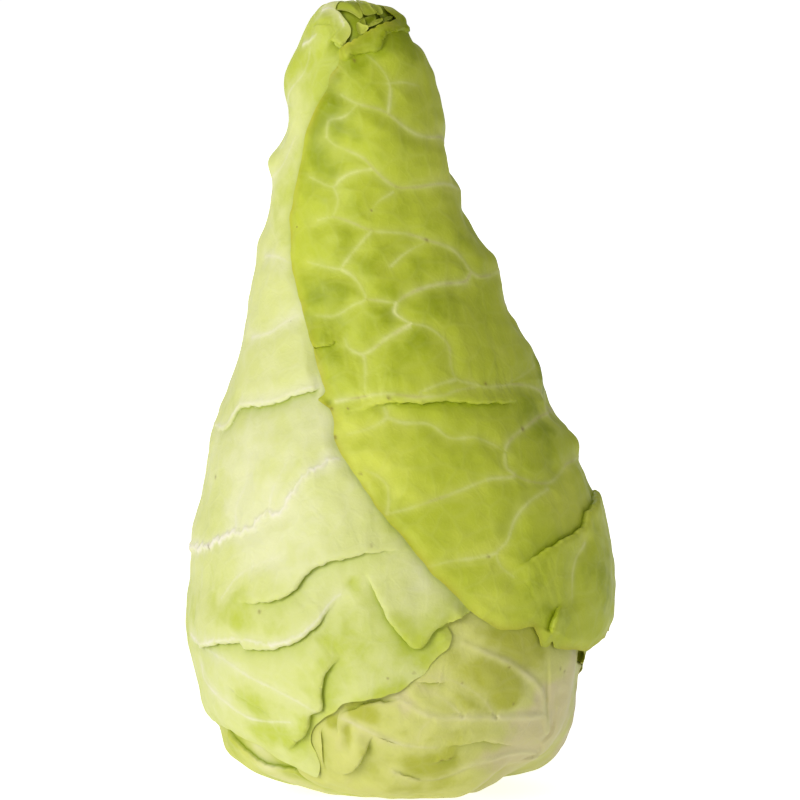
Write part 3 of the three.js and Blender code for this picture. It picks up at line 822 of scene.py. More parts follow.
Leaf(
    "hood_leaf", "green_leaf",
    first=[(30, 0), (31, 20), ring(30, 14), ring(26, 26), ring(18, 36), ring(9, 43), ring(2, 47),
           *front((63, 50.5), (62, 48.5), (59.2, 46.6), (57, 44.7), (51, 44.8), (47.3, 45.6), (46.3, 47.5),
                  (45, 46), (43, 46), (42, 49), (40.5, 51.8), (35.5, 51), (31.5, 50.8), (27.5, 52.8),
                  # The diagonal, with a small torn corner by the long fold.
                  (24, 55), (18, 60), (10.5, 67.5), (3, 76.5), (-4.5, 84.6), (-10.5, 93), (-16.5, 102),
                  (-20, 109.5), (-20.4, 113.5), (-21.4, 117), (-23.6, 118.8), (-24.9, 120.2),
                  (-23.4, 121.6), (-22.8, 123), (-24.4, 127), (-27, 136.5), (-29, 145.5), (-31, 153),
                  (-33.3, 160.5), (-34, 169.5), (-33, 180), (-31, 190.5), (-28.5, 201), (-25.5, 207.5),
                  # The jagged lip round the tip.
                  (-22.4, 213.6), (-21.2, 217.5), (-19, 220.6), (-18.4, 222.6), (-18.8, 224.6),
                  (-18.2, 226), (-17, 226.4), (-15.6, 227.4), (-14.7, 227.2), (-13.8, 228.5),
                  (-12.8, 228.4), (-12.1, 229.5), (-11.2, 229.6), (-10.4, 230.7), (-9.4, 230.7),
                  (-8.7, 231.6), (-7.7, 231.7), (-6.9, 232.6), (-5.6, 232.6), (-4.5, 233.4),
                  (-3.2, 233.3), (-1.8, 233.9), (-0.7, 234.7), (-1.5, 236), (-3.3, 237.3)),
           (-15, TIP - 1), (20, TIP), (70, TIP), (125, TIP)],
    second=[(66, 0), (66, 20), (68, 42), ring(82, 38), ring(100, 52), ring(114, 75), ring(122, 105),
            ring(128, 140), ring(138, 180), ring(150, 212), (160, TIP)],
    veins=hood_front_veins + feathered(
        [(40, 0), (40, 30), ring(38, 60), ring(38, 120), ring(38, 180), ring(30, 225)],
        24, 62, 26, seed=3, left=False),
    pleats=[
        Pleat(2.2, front((-17.5, 117), (-13, 117.2), (-8.3, 118.4), (-3.1, 119.8), (4.4, 119.5),
                         (15.3, 120.1), (21.6, 119.3), (27, 119.5), (33, 119.7), (38, 121)), reach=7,
              starts=0.3, ends=0.3),
        Pleat(1.4, front((-26.5, 135.8), (-22, 137), (-17.4, 139.2)), reach=4, starts=0.05, ends=0.6),
        Pleat(2.2, front((33, 67.8), (41, 73), (47.5, 77), (55, 81.8), (56, 85.5), (59.4, 90.5))
              + [ring(2, 90), ring(12, 89), ring(24, 88)],
              reach=9, flip=True, starts=0.2, ends=0.4),
        Pleat(1.6, front((49, 60), (46.7, 55), (45.2, 50.5)), reach=4, starts=0.6, ends=0.02, dip=1.0),
        Pleat(1.5, front((-18.2, 221.6), (-16, 223), (-13.9, 224.2), (-9.8, 224.7), (-6.8, 225.3),
                         (-5.6, 226.8), (-4.7, 229.6), (-2.4, 230.9), (0.4, 231.3), (3, 231)),
              reach=5, lip=0.3, starts=0.1, ends=0.02, dip=0.2),
    ],
    bulges=[
        # Along the right edge, which swells between the veins and is drawn in at them.
        *hills(ring, (-5, 159.5, 7, 2.3), (-24, 160, 7, 0.8), (-5, 174, 8, -2.0), (-5, 146, 7, -2.7),
                     (-5, 132, 6, 0.6), (-5, 117.5, 7, -3.4), (8, 117.5, 7, -2.0), (-5, 107, 5, 1.4),
                     (-5, 94.5, 7, -2.0), (9, 93, 6, -2.4), (-5, 82, 7, -1.0), (-5, 190, 5, -3.0),
                     (14, 189.5, 5, -2.6), (-5, 182, 5, 1.8), (-40, 165, 14, 0.8),
                     # Low on the right and behind, where it is tucked in.
                     (-5, 54, 8, 0.9), (22, 24, 18, -4.2), (16, 40, 11, -1.8), (38, 5, 14, -2.6),
                     # Across the front.
                     (-70, 136, 13, 1.0), (-80, 200, 9, 0.8), (-45, 92, 14, 0.9), (-20, 62, 14, 1.2)),
        # The torn corner, the lip and the last vein on the right.
        *hills(spot, (-21.8, 119.3, 1.2, -0.5), (-23.8, 120, 1.2, 0.7), (-6, 235.5, 5, 0.6)),
        *hills(ring, (-6, 229.3, 3.2, -2.6), (14, 229.3, 3.6, -2.6), (-9, 233.6, 2.4, 0.8)),
        *hills(spot, (46.5, 101, 4, -1.0), (53.5, 106, 4, 0.6)),
    ],
    tone_and_shading=[
        # Deeper and paler patches; the small deep one at the torn corner is painted shade in its hollow.
        *placed(ring, (-20, 150, 30, 0.08), (-60, 60, 30, -0.15)), (spot(-21.8, 119.3), 1.1, 0.7),
        *placed(ring, (-110, 216, 9, 0.1), (-45, 222, 12, 0.2)),
        *placed(spot, (-8, 228, 5, 1.0), (-1, 232.8, 4.5, 1.0), (-15, 225.5, 3, 0.2), (-12, 222, 3, 0.4),
                      (-6, 121, 4, -0.05), (-5, 127, 6, 0.15), (-17, 202, 12, 0.15), (6, 213, 9, -0.14),
                      (5, 64, 10, -0.16), (30, 114, 8, -0.22), (12, 84, 12, -0.08), (42, 84, 9, -0.14),
                      (8, 121, 4, -0.15), (20, 122, 4, -0.15), (-26, 150, 9, 0.2), (-18, 128, 8, 0.05),
                      (-8, 100, 12, -0.12), (5, 84, 12, -0.12), (-24, 207, 8, 0.4), (-24, 190, 8, 0.3),
                      (43, 128, 10, 0.25), (46.5, 101, 6, 0.3), (44, 112, 7, 0.3), (0, 150, 12, 0.15),
                      (8, 132, 9, 0.12)),
    ],
    marks=placed(spot, (-13.8, 222, 0.5), (-21, 117.6, 0.5), (-19.8, 109, 0.6), (-3.4, 120.8, 0.5),
                       (-15.7, 117.6, 0.4), (37.7, 111.8, 0.7), (25.9, 125, 0.5), (8.4, 168.2, 0.5),
                       (-8.5, 177, 0.35), (-12, 98, 0.4), (27, 73, 0.4)),
    curl=0.35, puff=0.85)

Leaf(
    "back_leaf", "green_leaf",
    first=[(50, 0), (48, 16), (42, 34), ring(36, 20), ring(27, 26), ring(18, 31), ring(9, 34),
           ring(0, 35.8), ring(-8, 37.6), *front((58.3, 40.5), (57.8, 43), (57.8, 46.5)), ring(-8, 56),
           ring(2, 70), ring(12, 100), ring(20, 150), ring(30, 200), (38, TIP), (38, TOP)],
    second=[(142, 0), (142, 18), (142, 36), ring(144, 38), ring(148, 62), ring(150, 100),
            ring(151, 140), ring(152, 180), ring(153, 210), (154, TIP), (154, TOP)],
    veins=feathered([(104, 0), (104, 30), ring(106, 60), ring(110, 130), ring(120, 200), ring(125, 225)],
                    22, 60, 24, seed=8),
    pleats=[Pleat(1.1, [ring(116, 128), ring(126, 121), ring(136, 119), ring(149, 124), ring(160, 128)],
                  reach=8, starts=0.5, ends=0.1),
            Pleat(1.0, [ring(118, 66), ring(126, 71), ring(135, 73), ring(150, 70), ring(160, 68)],
                  reach=8, starts=0.5, ends=0.1)],
    bulges=hills(ring, (-10, 40, 14, -4.8), (8, 38, 11, -3.0), free=True),
    # Paler round the sliver that shows under the hood, where it lies in shade: painted light.
    tone_and_shading=placed(ring, (-14, 41, 9, -0.5), (12, 36, 14, -0.3)),
    curl=0.4)

Leaf(
    "side_leaf", "pale_leaf",
    first=[(108, 0), (108, 20), (106, 40), ring(104, 38), ring(100, 60), ring(98, 90), ring(96, 130),
           ring(98, 170), ring(104, 205), (110, TIP), (110, TOP)],
    second=[(166, 0), (167, 10), ring(171, 9.5), ring(176, 14.5), ring(181, 19.5), ring(187, 21),
            *front((-51.6, 20.6), (-50, 19.4), (-42.4, 15), (-37, 11.2), (-32.4, 9.3), (-28, 7),
                   (-25.2, 6.2), (-24.6, 9), (-25.6, 12.4), (-27.3, 16.2), (-27.3, 19.2), (-26, 21.7),
                   (-23.9, 23.4), (-20, 26), (-17.3, 28.6), (-13.3, 30), (-3.6, 31.5), (0, 32.2),
                   (4, 35.2), (8.2, 38), (9.6, 40.6), (12, 43), (14.6, 45.2), (15.7, 47.6), (15.8, 50),
                   (14.6, 52.6), (16.5, 54.2), (22, 56.9)),
            ring(-70, 84), ring(-64, 110), ring(-62, 150), ring(-66, 190),
            *front((-9, 214), (-13.5, 221.5), (-16.8, 225.4), (-16.3, 227.8), (-15.3, 229.8), (-15.1, 231.6),
                   (-15.8, 233.3), (-16.9, 235.1), (-18.1, 236.6), (-19.5, 237.5)),
            (-128, TIP + 2.5), (-142, TOP - 2)],
    veins=[
        Vein(1.7, 0.8, front((-64, 76), (-59, 76.2), (-54.5, 78.6), (-50, 80.4), (-44.4, 81.6),
                             (-43.2, 84.3), (-40, 85.8), (-35.7, 86.4), (-33.6, 89.7), (-31.5, 93.3),
                             (-28, 97.5), (-25, 99.9), (-19, 103)), fade=0.35, whiteness=1.7, crinkle=0.7),
        Vein(0.9, 0.2, front((-59, 113.5), (-53.4, 112.6), (-49, 118.8), (-46.5, 119.4), (-39, 120.0),
                             (-32.7, 122.4), (-24, 125.2)), fade=0.4, crinkle=0.3),
        Vein(1.0, 0.2, front((-64, 50), (-60.3, 47.2), (-55.2, 48.1), (-47.7, 48.4), (-39, 46.7)),
             fade=0.4, whiteness=1.2, crinkle=0.35),
        Vein(1.0, 0.2, front((-39, 46.7), (-31.5, 48.7), (-28.2, 50.8), (-24.6, 54.3), (-21.9, 58.4),
                             (-18.4, 61.6)), fade=0.3, whiteness=1.2, crinkle=0.3),
        Vein(1.1, 0.3, front((-60.6, 46.2), (-54, 42), (-46, 37), (-37.5, 33), (-25.8, 27.2)), fade=0.4,
             crinkle=0.15),
        Vein(1.1, 0.3, front((-61, 40), (-60, 36), (-52.5, 28.5), (-45, 24), (-33, 23.4)), fade=0.5),
        side_vein(*front((-41.5, 163.5), (-38, 163.2), (-34.5, 161.5))),
        side_vein(*front((-45.5, 139), (-40, 140.5), (-35, 144), (-30, 147))),
        side_vein(*front((-44, 181), (-40.5, 184), (-36.5, 190), (-33, 199))),
        fine_vein(*front((-36, 206), (-33.5, 212), (-29.5, 219), (-28, 226))),
        Vein(1.3, 0.4, front((-30.2, 227), (-27.6, 228.3), (-25.6, 229.6)), fade=0.5, crinkle=0.3),
        # A white line just inside the edge by the tip: a painted highlight, drawn as a vein.
        Vein(0.7, 0.2, front((-23.6, 237.4), (-21.4, 237.9), (-19.2, 237), (-17.9, 235), (-17, 232.6)),
             whiteness=1.4, fade=0.5),
        fine_vein(*front((-40, 85.8), (-38.5, 92), (-36, 97), (-33.5, 102))),
        fine_vein(*front((-50, 80.4), (-50, 88), (-47, 95), (-46, 103))),
        fine_vein(*front((-54, 60.5), (-50, 66), (-43, 70.5), (-36, 73))),
    ] + feathered([(168, 0), (168, 30), ring(164, 60), ring(160, 120), ring(160, 180), ring(165, 225)],
                  24, 52, 26, seed=5, right=False),
    pleats=[
        Pleat(1.1, front((-56, 112.5), (-53.4, 111.6), (-49.2, 117.9), (-46.5, 118.5), (-39, 119.1),
                         (-32.7, 121.5), (-24, 124.2)), reach=8, starts=0.5, ends=0.05, lip=0.3),
        Pleat(2.2, front((-51.3, 60), (-43.2, 59.4), (-36.9, 60.6), (-32.7, 62.4), (-29.4, 66.6),
                         (-26.1, 69.9), (-21.9, 71.7), (-15.3, 73.2), (-7.5, 74.7), (1.2, 75.3), (7, 76)),
              reach=8, lip=0.7, starts=0.3, ends=0.4, free=True),
        Pleat(1.9, front((-64.2, 48.9), (-60.3, 46.2), (-55.2, 47.1), (-47.7, 47.4), (-46.5, 45.9),
                         (-39, 45.6), (-31.5, 47.7), (-28.2, 49.8), (-24.6, 53.1), (-21.9, 57),
                         (-18.6, 60.6)), reach=7, lip=0.5, starts=0.3, ends=0.15),
        Pleat(1.7, front((-10.9, 69), (-7.8, 63.6), (-5.4, 59), (-2.7, 53.7), (0.6, 49.6), (3.3, 46.8),
                         (5.4, 45.5), (6.8, 46.3), (8.7, 49.2), (10.4, 51.5), (13, 52.8), (16.5, 54),
                         (22, 56.7), (29, 61), (36, 66)), reach=12, lip=0.6, starts=0.16, ends=0.02,
              dip=0.9),
        Pleat(1.8, front((-16.8, 44.1), (-19.8, 41.4), (-22.2, 38.7), (-23.4, 36), (-24, 31.8), (-24, 27.3),
                         (-27, 26.1), (-27.9, 22.5), (-29.1, 19.5), (-31.8, 17.1), (-34.5, 13.5)),
              reach=6, lip=0.6, dip=0.6, flip=True, starts=0.2, ends=0.25),
        Pleat(2.3, front((-21, 228.8), (-19.2, 227.5), (-17.2, 226)), reach=3.5, starts=0.25, ends=0.05,
              dip=1.5, crease_shade_strength=1.3, free=True, crinkle=0),
        Pleat(0.6, front((-54.5, 35.4), (-48.7, 31.5), (-41.1, 27.3), (-37, 23)), reach=7, starts=0.5,
              ends=0.5, dip=0.2, crease_shade_strength=0.4),
        Pleat(0.8, front((-27.4, 232.4), (-24.6, 231.9), (-21.4, 232.3), (-21.2, 235)), reach=3, starts=0.4,
              ends=0.4, dip=0.1, crease_shade_strength=0.3, flip=True, crinkle=0),
    ],
    bulges=[
        *hills(spot, (-14.6, 64.6, 2.4, -0.7), (-23.8, 234.8, 2.6, 0.7)),
        *hills(ring, (184, 76, 9, 1.0), (184, 24, 8, 1.2), (184, 111, 7, 0.8), (184, 127, 8, -1.4),
                     (184, 142, 7, -0.3), (184, 166, 5.5, 1.5), (186, 216, 7, 1.1),
                     (184, 190.5, 4.5, 2.4), (184, 201, 6, -1.6), (235, 100, 18, 1.2)),
        Bulge(spot(-24, 229), 5, 1.2), Bulge(spot(-19.5, 233.2), 4.2, 0.5, free=True),
        Bulge((-135, TIP + 2), 6, 1.2),
        *hills(spot, (13.6, 48.5, 2.6, 0.8), (-20, 7.5, 3, 0.5), free=True),
        *hills(ring, (225, 68, 12, 1.2), (250, 52, 12, 1.5), (232, 35, 10, 0.8), (262, 36, 9, 1.6)),
    ],
    tone_and_shading=[
        *placed(ring, (200, 225, 30, 0.35), (225, 30, 18, 0.22), (256, 44, 12, 0.2),
                      (240, 110, 40, -0.3), (262, 66, 15, 0.1)),
        # Painted shade among these: the valley at the top of the tongue, the wedge below the pillow's crease
        # and the pocket by the tip.
        *placed(spot, (13.2, 48, 3.6, 0.75), (3.5, 47.5, 3.4, 0.5), (9, 41, 3, 0.35),
                      (-12, 28.6, 3.2, 0.5), (-5, 30.4, 3.2, 0.55), (0.5, 33, 3, 0.4),
                      (-19, 234, 5, 0.3), (-18.5, 231, 4, 0.25), (-20, 228, 1.6, 0.5),
                      (-27, 231, 2.4, 0.35), (-36, 48, 5, 0.35), (-18.5, 224.5, 2.5, 0.6),
                      (-49, 31, 4, 0.2), (-42, 27.5, 4, 0.2), (-22, 213, 4, 0.45),
                      (-28.2, 221.6, 1.3, 0.9), (-23, 223, 2.2, 0.35), (-1, 54, 3, 0.25),
                      (-14.6, 64.6, 2.6, 0.4), (-25.6, 236.2, 1.9, 1.0), (-24.5, 232, 2, 0.4),
                      (-35, 214, 6, 0.25), (-31, 228, 4, 0.3), (-46, 54, 14, 0.2)),
    ],
    marks=placed(spot, (4.4, 37.7, 0.35), (-56, 97, 0.5), (-58, 76, 0.7), (-8.5, 76.5, 0.3),
                       (-42, 56.5, 0.5), (-3.5, 36.3, 0.3)),
    curl=0.3, puff=0.5)

# A row of small folds beside the foot of the side leaf: where each hollow is, how deep, and how dark the
# painted shade in it is.
FOOT_FOLDS = [(-15.9, 21.2, 0.7, 0.3), (-15.7, 19.6, 0.6, 0.3), (-15.5, 18, 0.7, 0.3),
              (-15.3, 16.4, 0.5, 0.25)]
FOOT_FOLD_RADIUS = 1.3

Leaf(
    "base_leaf", "pale_leaf",
    first=[(-76, 0), (-92, 8), (-112, 18), (-126, 26), ring(-128, 12), ring(-122, 26), ring(-112, 45),
           ring(-106, 80), ring(-102, 120), ring(-98, 160), ring(-94, 196), (-90, TIP - 14)],
    second=[(56, 0), (54, 16), ring(50, 12), ring(44, 26), ring(38, 40), ring(36, 60), ring(36, 90),
            ring(40, 130), ring(44, 165), ring(46, 196), (48, TIP - 14)],
    veins=[
        Vein(9, 1.5, [(-38, 0), (-35, 16), (-32, 30), ring(-31, 30), ring(-33, 60), ring(-36, 90)],
             fade=0.4),
        Vein(5.0, 0.2, [ring(-5, 13), ring(-7, 19), ring(-8, 25), ring(-6, 31), ring(-5, 38)],
             whiteness=0.1, fade=0.8, brown=1.1),
        Vein(3.0, 0.9, front((44, 25), (38.7, 24.9), (28.8, 24.9), (18.9, 24.9), (9.9, 25.2), (3.9, 27.6),
                             (-0.9, 30.3), (-6, 28.8)), fade=0.5),
        Vein(3.0, 0.9, front((45, 20), (44.1, 27), (43.5, 31), (41.7, 34.2), (37.8, 37.8), (32.7, 41.1),
                             (26.4, 43.8), (20, 46.5)), fade=0.5),
        Vein(2.4, 0.7, front((44, 12), (36, 13), (28, 12), (21.9, 10.5), (17.4, 8.4), (13.8, 6.9), (9, 5.8),
                             (3.9, 5.8), (-2.1, 8.4)), fade=0.5),
        Vein(1.8, 0.5, front((-17.2, 24.1), (-13.3, 22.3), (-8.9, 20.2), (-4.6, 18.3), (0.1, 16.9),
                             (5.1, 16.2), (11, 15.8)), fade=0.7, whiteness=1.3),
        fine_vein(*front((9.9, 25.2), (6, 21), (5.1, 16.2))),
        fine_vein(*front((28.8, 24.9), (24, 31), (17, 35), (9, 37))),
        fine_vein(*front((18.9, 24.9), (14, 29.5), (8, 33))),
    ],
    pleats=[
        Pleat(2.0, front((-8.4, 19.6), (-10.8, 14.9), (-14.1, 9.6), (-17.6, 7)), reach=5, flip=True,
              starts=0.3, ends=0.3, dip=0.6),
        Pleat(1.0, front((-23.2, 23), (-24.3, 20), (-24.2, 16), (-23.8, 12), (-23.4, 9), (-22.8, 6)),
              reach=2.0, flip=True, starts=0.3, ends=0.4, dip=0.2, free=True, crease_shade_strength=0.8),
        Pleat(0.8, front((-18.2, 26.4), (-18.6, 24), (-18.3, 20), (-18.4, 18)), reach=1.6, starts=0.2,
              ends=0.5, dip=0.2, crease_shade_strength=0.3, free=True, crinkle=0),
        Pleat(0.6, front((-8.6, 19.2), (-4.6, 17.5), (0.1, 16), (4, 15.6)), reach=3, starts=0.3, ends=0.7,
              dip=0.2, crease_shade_strength=0.4, free=True, flip=True),
        Pleat(1.0, front((-18.5, 24.6), (-14, 26.4), (-8, 28.4), (-2, 28.8), (2, 30)), reach=5,
              starts=0.2, ends=0.4, flip=True, dip=0.4, free=True),
        Pleat(1.2, front((12.9, 14.9), (16, 16.6), (19.8, 17.7), (24, 18.3), (28.8, 17.7), (36.3, 15.3)),
              reach=6, starts=0.3, ends=0.4),
        Pleat(1.0, front((3, 35.5), (9, 35.1), (16, 35.3)), reach=5, starts=0.5, ends=0.5, free=True),
        Pleat(0.7, front((46, 46), (45.4, 38), (45.2, 30), (45.2, 22), (44.6, 15)), reach=4, starts=0.3,
              ends=0.5, lip=0, dip=0.2, free=True, crease_shade_strength=0.3),
        Pleat(0.6, front((10.6, 11.4), (12.6, 12.2), (14.6, 12.4), (17, 13.2)), reach=1, starts=0.3,
              ends=0.3, lip=0.2, dip=0.3, free=True),
        Pleat(0.5, front((-4.2, 9.6), (-1, 8), (2, 6.7), (6.5, 5.2), (10, 4.6)), reach=4, starts=0.5,
              ends=0.6, flip=True, dip=0.2, crease_shade_strength=0.6),
    ],
    bulges=[
        *hills(ring, (-86, 20, 14, 1.4), (-64, 30, 12, 1.0), (-60, 12, 9, 0.9), (-115, 12, 8, 1.2),
                     (-103, 12, 4, -1.0), (-95, 8, 6, 1.0)),
        *hills(ring, (-11, 38, 16, -5.4), (20, 26, 15, -3.4), (4, 30, 9, -1.2), free=True),
        *hills(ring, (-45, 6, 11, -3.0), (-14, 1.8, 9, -2.8), (-28, 7, 11, -2.5)),
        *hills(spot, (-14, 14, 5, 1.0), (6, 23, 9, 0.9)),
        *hills(spot, (-18.5, 10.5, 3.6, 0.8), (-12.6, 18, 1.8, 0.7), free=True),
        *[Bulge(spot(x, h), FOOT_FOLD_RADIUS, -depth, free=True) for x, h, depth, _ in FOOT_FOLDS],
        Bulge(spot(-17.8, 17.6), 1.6, 0.5, free=True),
        *hills(ring, (-38, 4, 9, -2.4), (-64, 3, 8, 0.8), (-14, 8, 8, -1.0)),
    ],
    tone_and_shading=[
        # Deeper towards the right, partly as painted shade.
        *placed(ring, (-60, 40, 16, 0.45), (-75, 12, 12, 0.2), (-40, 30, 12, -0.1)),
        *placed(spot, (26, 38, 11, 0.18), (33, 45, 8, 0.4), (24, 29, 13, 0.18), (36, 10, 13, -0.7),
                      (48, 28, 9, -0.6), (-14, 27, 3, 0.5), (-17, 16, 6, -0.15), (0, 29, 5, -0.2),
                      # The last of these is painted shadow under the side leaf's margin by the foot.
                      (-20.8, 22.8, 2.3, 0.6)),
        # Painted shade in the small hollows of the foot.
        *[(spot(x, h), FOOT_FOLD_RADIUS, dark) for x, h, _, dark in FOOT_FOLDS],
        *placed(spot, (-10, 15, 2.5, 0.35), (-12, 26.4, 3, 0.2), (-7, 27.6, 3, 0.2)),
        *placed(ring, (14, 20, 12, -0.5), (-8, 12, 10, -0.6), (2, 24, 10, -0.5)),
        *placed(spot, (33, 30, 3, 0.35), (-10, 24, 4, 0.25), (12, 8, 6, 0.2)),
    ],
    marks=placed(spot, (12.4, 12.2, 0.5), (15, 12.6, 0.4), (34, 29, 0.35), (19, 35, 0.3), (33, 39.5, 0.4),
                       (49, 39, 0.4), (50.5, 38, 0.4)),
    curl=0.3, puff=0.5)

Leaf(
    "low_leaf", "pale_leaf",
    first=[(132, 0), (134, 12), (138, 26), ring(140, 12), ring(144, 30), ring(148, 60), ring(150, 100),
           ring(154, 140), ring(160, 180), (166, TIP - 24)],
    second=[(300, 0), (300, 10), (296, 20), ring(290, 8), ring(284, 20), ring(276, 44), ring(272, 80),
            ring(272, 120), ring(270, 150), ring(268, 180), (264, TIP - 24)],
    veins=[Vein(9, 1.4, [(228, 0), (224, 16), (220, 30), ring(216, 40), ring(214, 80)], fade=0.5)],
    pleats=[Pleat(1.7, front((-53.5, 21.4), (-50.4, 18), (-46, 14), (-41, 10.8), (-36, 8.3), (-30, 6.2),
                             (-25, 4.2), (-20.6, 3.2)), reach=4.5, lip=0.4, starts=0.08, ends=0.2, dip=0.2,
                  flip=True, free=True)],
    bulges=[Bulge(spot(-51.5, 16), 5, 1.6), *hills(ring, (200, 9, 8, 0.8), (226, 5, 10, -1.2))],
    tone_and_shading=[(ring(225, 10), 20, 0.15), *placed(spot, (-50, 16, 6, 0.5), (-38, 8.5, 8, 0.35))],
    curl=0.4)


# ---- The leaves inside the head, one after another round the stem, each a little shorter than the last ----

INNER_LEAVES = 9
INNER_TURN = 137.5              # degrees from each leaf's midrib to the next one's
INNER_FIRST = 70                # azimuth of the first one's midrib
INNER_TALLEST = 40              # how far short of the tip the first of them stops
INNER_SHORTER = 13              # and how much further short each of the others does


def add_inner_leaf(index):
    """One of the folded leaves, wrapped more than half way round the head."""
    middle = (INNER_FIRST + index * INNER_TURN + 180) % 360 - 180
    top = meridian.length - INNER_TALLEST - INNER_SHORTER * index
    # Half the leaf's width in degrees, by the share of its length.
    spread = [(20, 0), (34, 0.08), (74, 0.2), (104, 0.36), (112, 0.55), (106, 0.78), (92, 1)]
    Leaf(f"inner_leaf_{index + 1}", "heart_leaf",
         first=[(middle - width, share * top) for width, share in spread],
         second=[(middle + width, share * top) for width, share in spread],
         veins=[Vein(8, 1.0, [(middle, 0), (middle, 0.4 * top), (middle, 0.9 * top)], fade=0.7)],
         thickness=0.9, pitch=4.2, puff=0.4, curl=0.3, spacing=2.2)


for index in range(INNER_LEAVES):
    add_inner_leaf(index)


# ---- The crumpled ends of the leaves that close the tip ----

class Lobe(Leaf):
    """A small end of a leaf, given by how far below the skin it lies and its outline, anticlockwise."""

    roll = 0.8
    rim = 0.5

    def __init__(self, sunk, outline, tone=0.6, curl=0.7, puff=0.4, thickness=0.35, seed=0):
        self.name, self.veins, self.pleats, self.bulges, self.tone_and_shading = "lobe", (), (), (), ()
        self.tone, self.curl, self.puff, self.thickness, self.marks = tone, curl, puff, thickness, ()
        self.spacing = 0.4
        self.order = 100 + seed     # only for the seeds of its waves, clear of the leaves'
        self.sunk = sunk
        self.outline = on_skin([*outline, outline[0]], self.spacing)[:-1]
        self.middle = (self.outline[:, 0].min() + self.outline[:, 0].max()) / 2

    def covers(self, azimuth, s):
        return []

    def depth(self, outside_each):
        return self.sunk

    def level(self, azimuth, s):
        return np.zeros(len(s), int)


def crown(*places):
    """[(azimuth, s), ...] from azimuths, each with how many millimetres short of the very tip it is."""
    return [(azimuth, meridian.length - short) for azimuth, short in places]


TIP_LOBES = [
    # What fills the tip behind the others.
    Lobe(1.6, crown((-135, 16), (-60, 18), (10, 16), (85, 16), (85, 5), (60, 0.6), (-120, 0.6),
                    (-135, 5)), tone=1.0, seed=1),
    Lobe(2.0, crown((70, 16), (160, 16), (240, 16), (240, 5), (220, 0.6), (90, 0.6), (70, 5)),
         tone=1.0, seed=2),
    # The trough beside the side leaf's pillow, and the broad fold above it.
    Lobe(0.9, [*crown((-138, 11)),
               *front((-20.5, 235.5), (-18, 231), (-16.8, 227), (-13.5, 226.5), (-10.5, 229),
                      (-10.5, 235.8)),
               *crown((-84, 8), (-100, 3), (-138, 3))], tone=0.95, curl=0.2, seed=3),
    Lobe(-0.2, [*crown((-158, 6), (-149, 9.2), (-139, 10.6), (-129, 10.9), (-120, 11.3), (-112, 11)),
                *front((-15.8, 237.4), (-13.9, 236.4), (-11.9, 235.1), (-11.1, 235.8), (-11.4, 237.6)),
                *crown((-74, 7), (-70, 2), (-110, 0.8), (-150, 1), (-165, 3))],
         tone=0.4, curl=0.3, puff=0.9, seed=4),
    # The fringe to the right of that fold, along the top.
    Lobe(-0.3, [*front((-11, 236), (-9.8, 235.5), (-8.2, 235.8), (-7.2, 236.2)),
                *crown((-58, 10), (-54, 2.5), (-76, 2), (-78, 9))], tone=0.6, seed=5),
    Lobe(0.1, [*front((-7, 236), (-6.2, 235.6), (-5.3, 235.9)),
               *crown((-41, 11), (-34, 8), (-30, 2.5), (-54, 2), (-55, 9))], tone=0.5, seed=6),
    Lobe(0.4, [*front((-5.1, 236), (-3.9, 235.4), (-2.2, 235.7), (-1.2, 235.4)),
               *crown((-12, 11.5), (5, 9), (5, 3), (-32, 2), (-38, 9))], tone=0.8, seed=7),
    # The frill between the fringe and the hood's lip.
    Lobe(0.5, front((-12.6, 233.2), (-10.9, 232.4), (-9.3, 232.4), (-7.9, 233.6), (-6.7, 235.2),
                    (-7.2, 236.6), (-9.8, 236), (-11.8, 235)), tone=0.85, curl=0.9, seed=8),
    Lobe(0.2, front((-13.1, 232.4), (-12.8, 230.8), (-11.9, 229.8), (-10.4, 230.5), (-9.3, 231.8),
                    (-9.7, 232.6), (-11, 232.8), (-12.7, 233.4)), tone=0.45, curl=0.8, seed=9),
    Lobe(-0.1, front((-9.6, 232), (-8, 232.4), (-6.1, 233.3), (-4.8, 234.4), (-5.2, 235), (-7.2, 234.3),
                     (-8.6, 233.4)), tone=0.5, curl=0.8, seed=10),
    Lobe(0.1, front((-4.6, 233.8), (-3.4, 234.4), (-2, 235.1), (-1.4, 235.9), (-2.8, 235.9), (-4, 235.3)),
         tone=0.5, curl=0.8, seed=11),
    Lobe(0.5, front((-14.1, 230.6), (-13.6, 229), (-12.6, 229.2), (-12.2, 230.8), (-13, 231.8)),
         tone=0.6, curl=0.6, seed=12),
]


def tip_leaves_mesh():
    """All the lobes as one mesh of separate closed shells."""
    shells = [leaf_shell(lobe) for lobe in TIP_LOBES]
    faces, count = [], 0
    for places, lobe_faces, _ in shells:
        faces += [[corner + count for corner in face] for face in lobe_faces]
        count += len(places)
    mesh = bpy.data.meshes.new("tip_leaves")
    mesh.from_pydata((np.vstack([places for places, _, _ in shells]) * MM).tolist(), [], faces)
    finish_leaf_mesh(mesh, {name: np.concatenate([masks[name] for _, _, masks in shells])
                            for name in shells[0][2]})
    return mesh


# ---- The stem and the bud ----

class Nodes:
    """A node tree being put together."""

    def __init__(self, tree):
        self.tree = tree

    def feed(self, node, inputs):
        """Set inputs of a node to values, or link them to other nodes' outputs."""
        for key, value in inputs.items():
            if isinstance(value, bpy.types.NodeSocket):
                self.tree.links.new(value, node.inputs[key])
            else:
                node.inputs[key].default_value = value

    def add(self, kind, inputs=None, output=0, **settings):
        """A node, by what goes into it; returns one of its outputs."""
        node = self.tree.nodes.new(kind)
        for key, value in settings.items():
            setattr(node, key, value)
        self.feed(node, inputs or {})
        return node.outputs[output]

    def math(self, operation, first, second=0.0):
        """A sum of one or two values."""
        return self.add("ShaderNodeMath", {0: first, 1: second}, operation=operation)

    def times(self, first, second):
        return self.math("MULTIPLY", first, second)


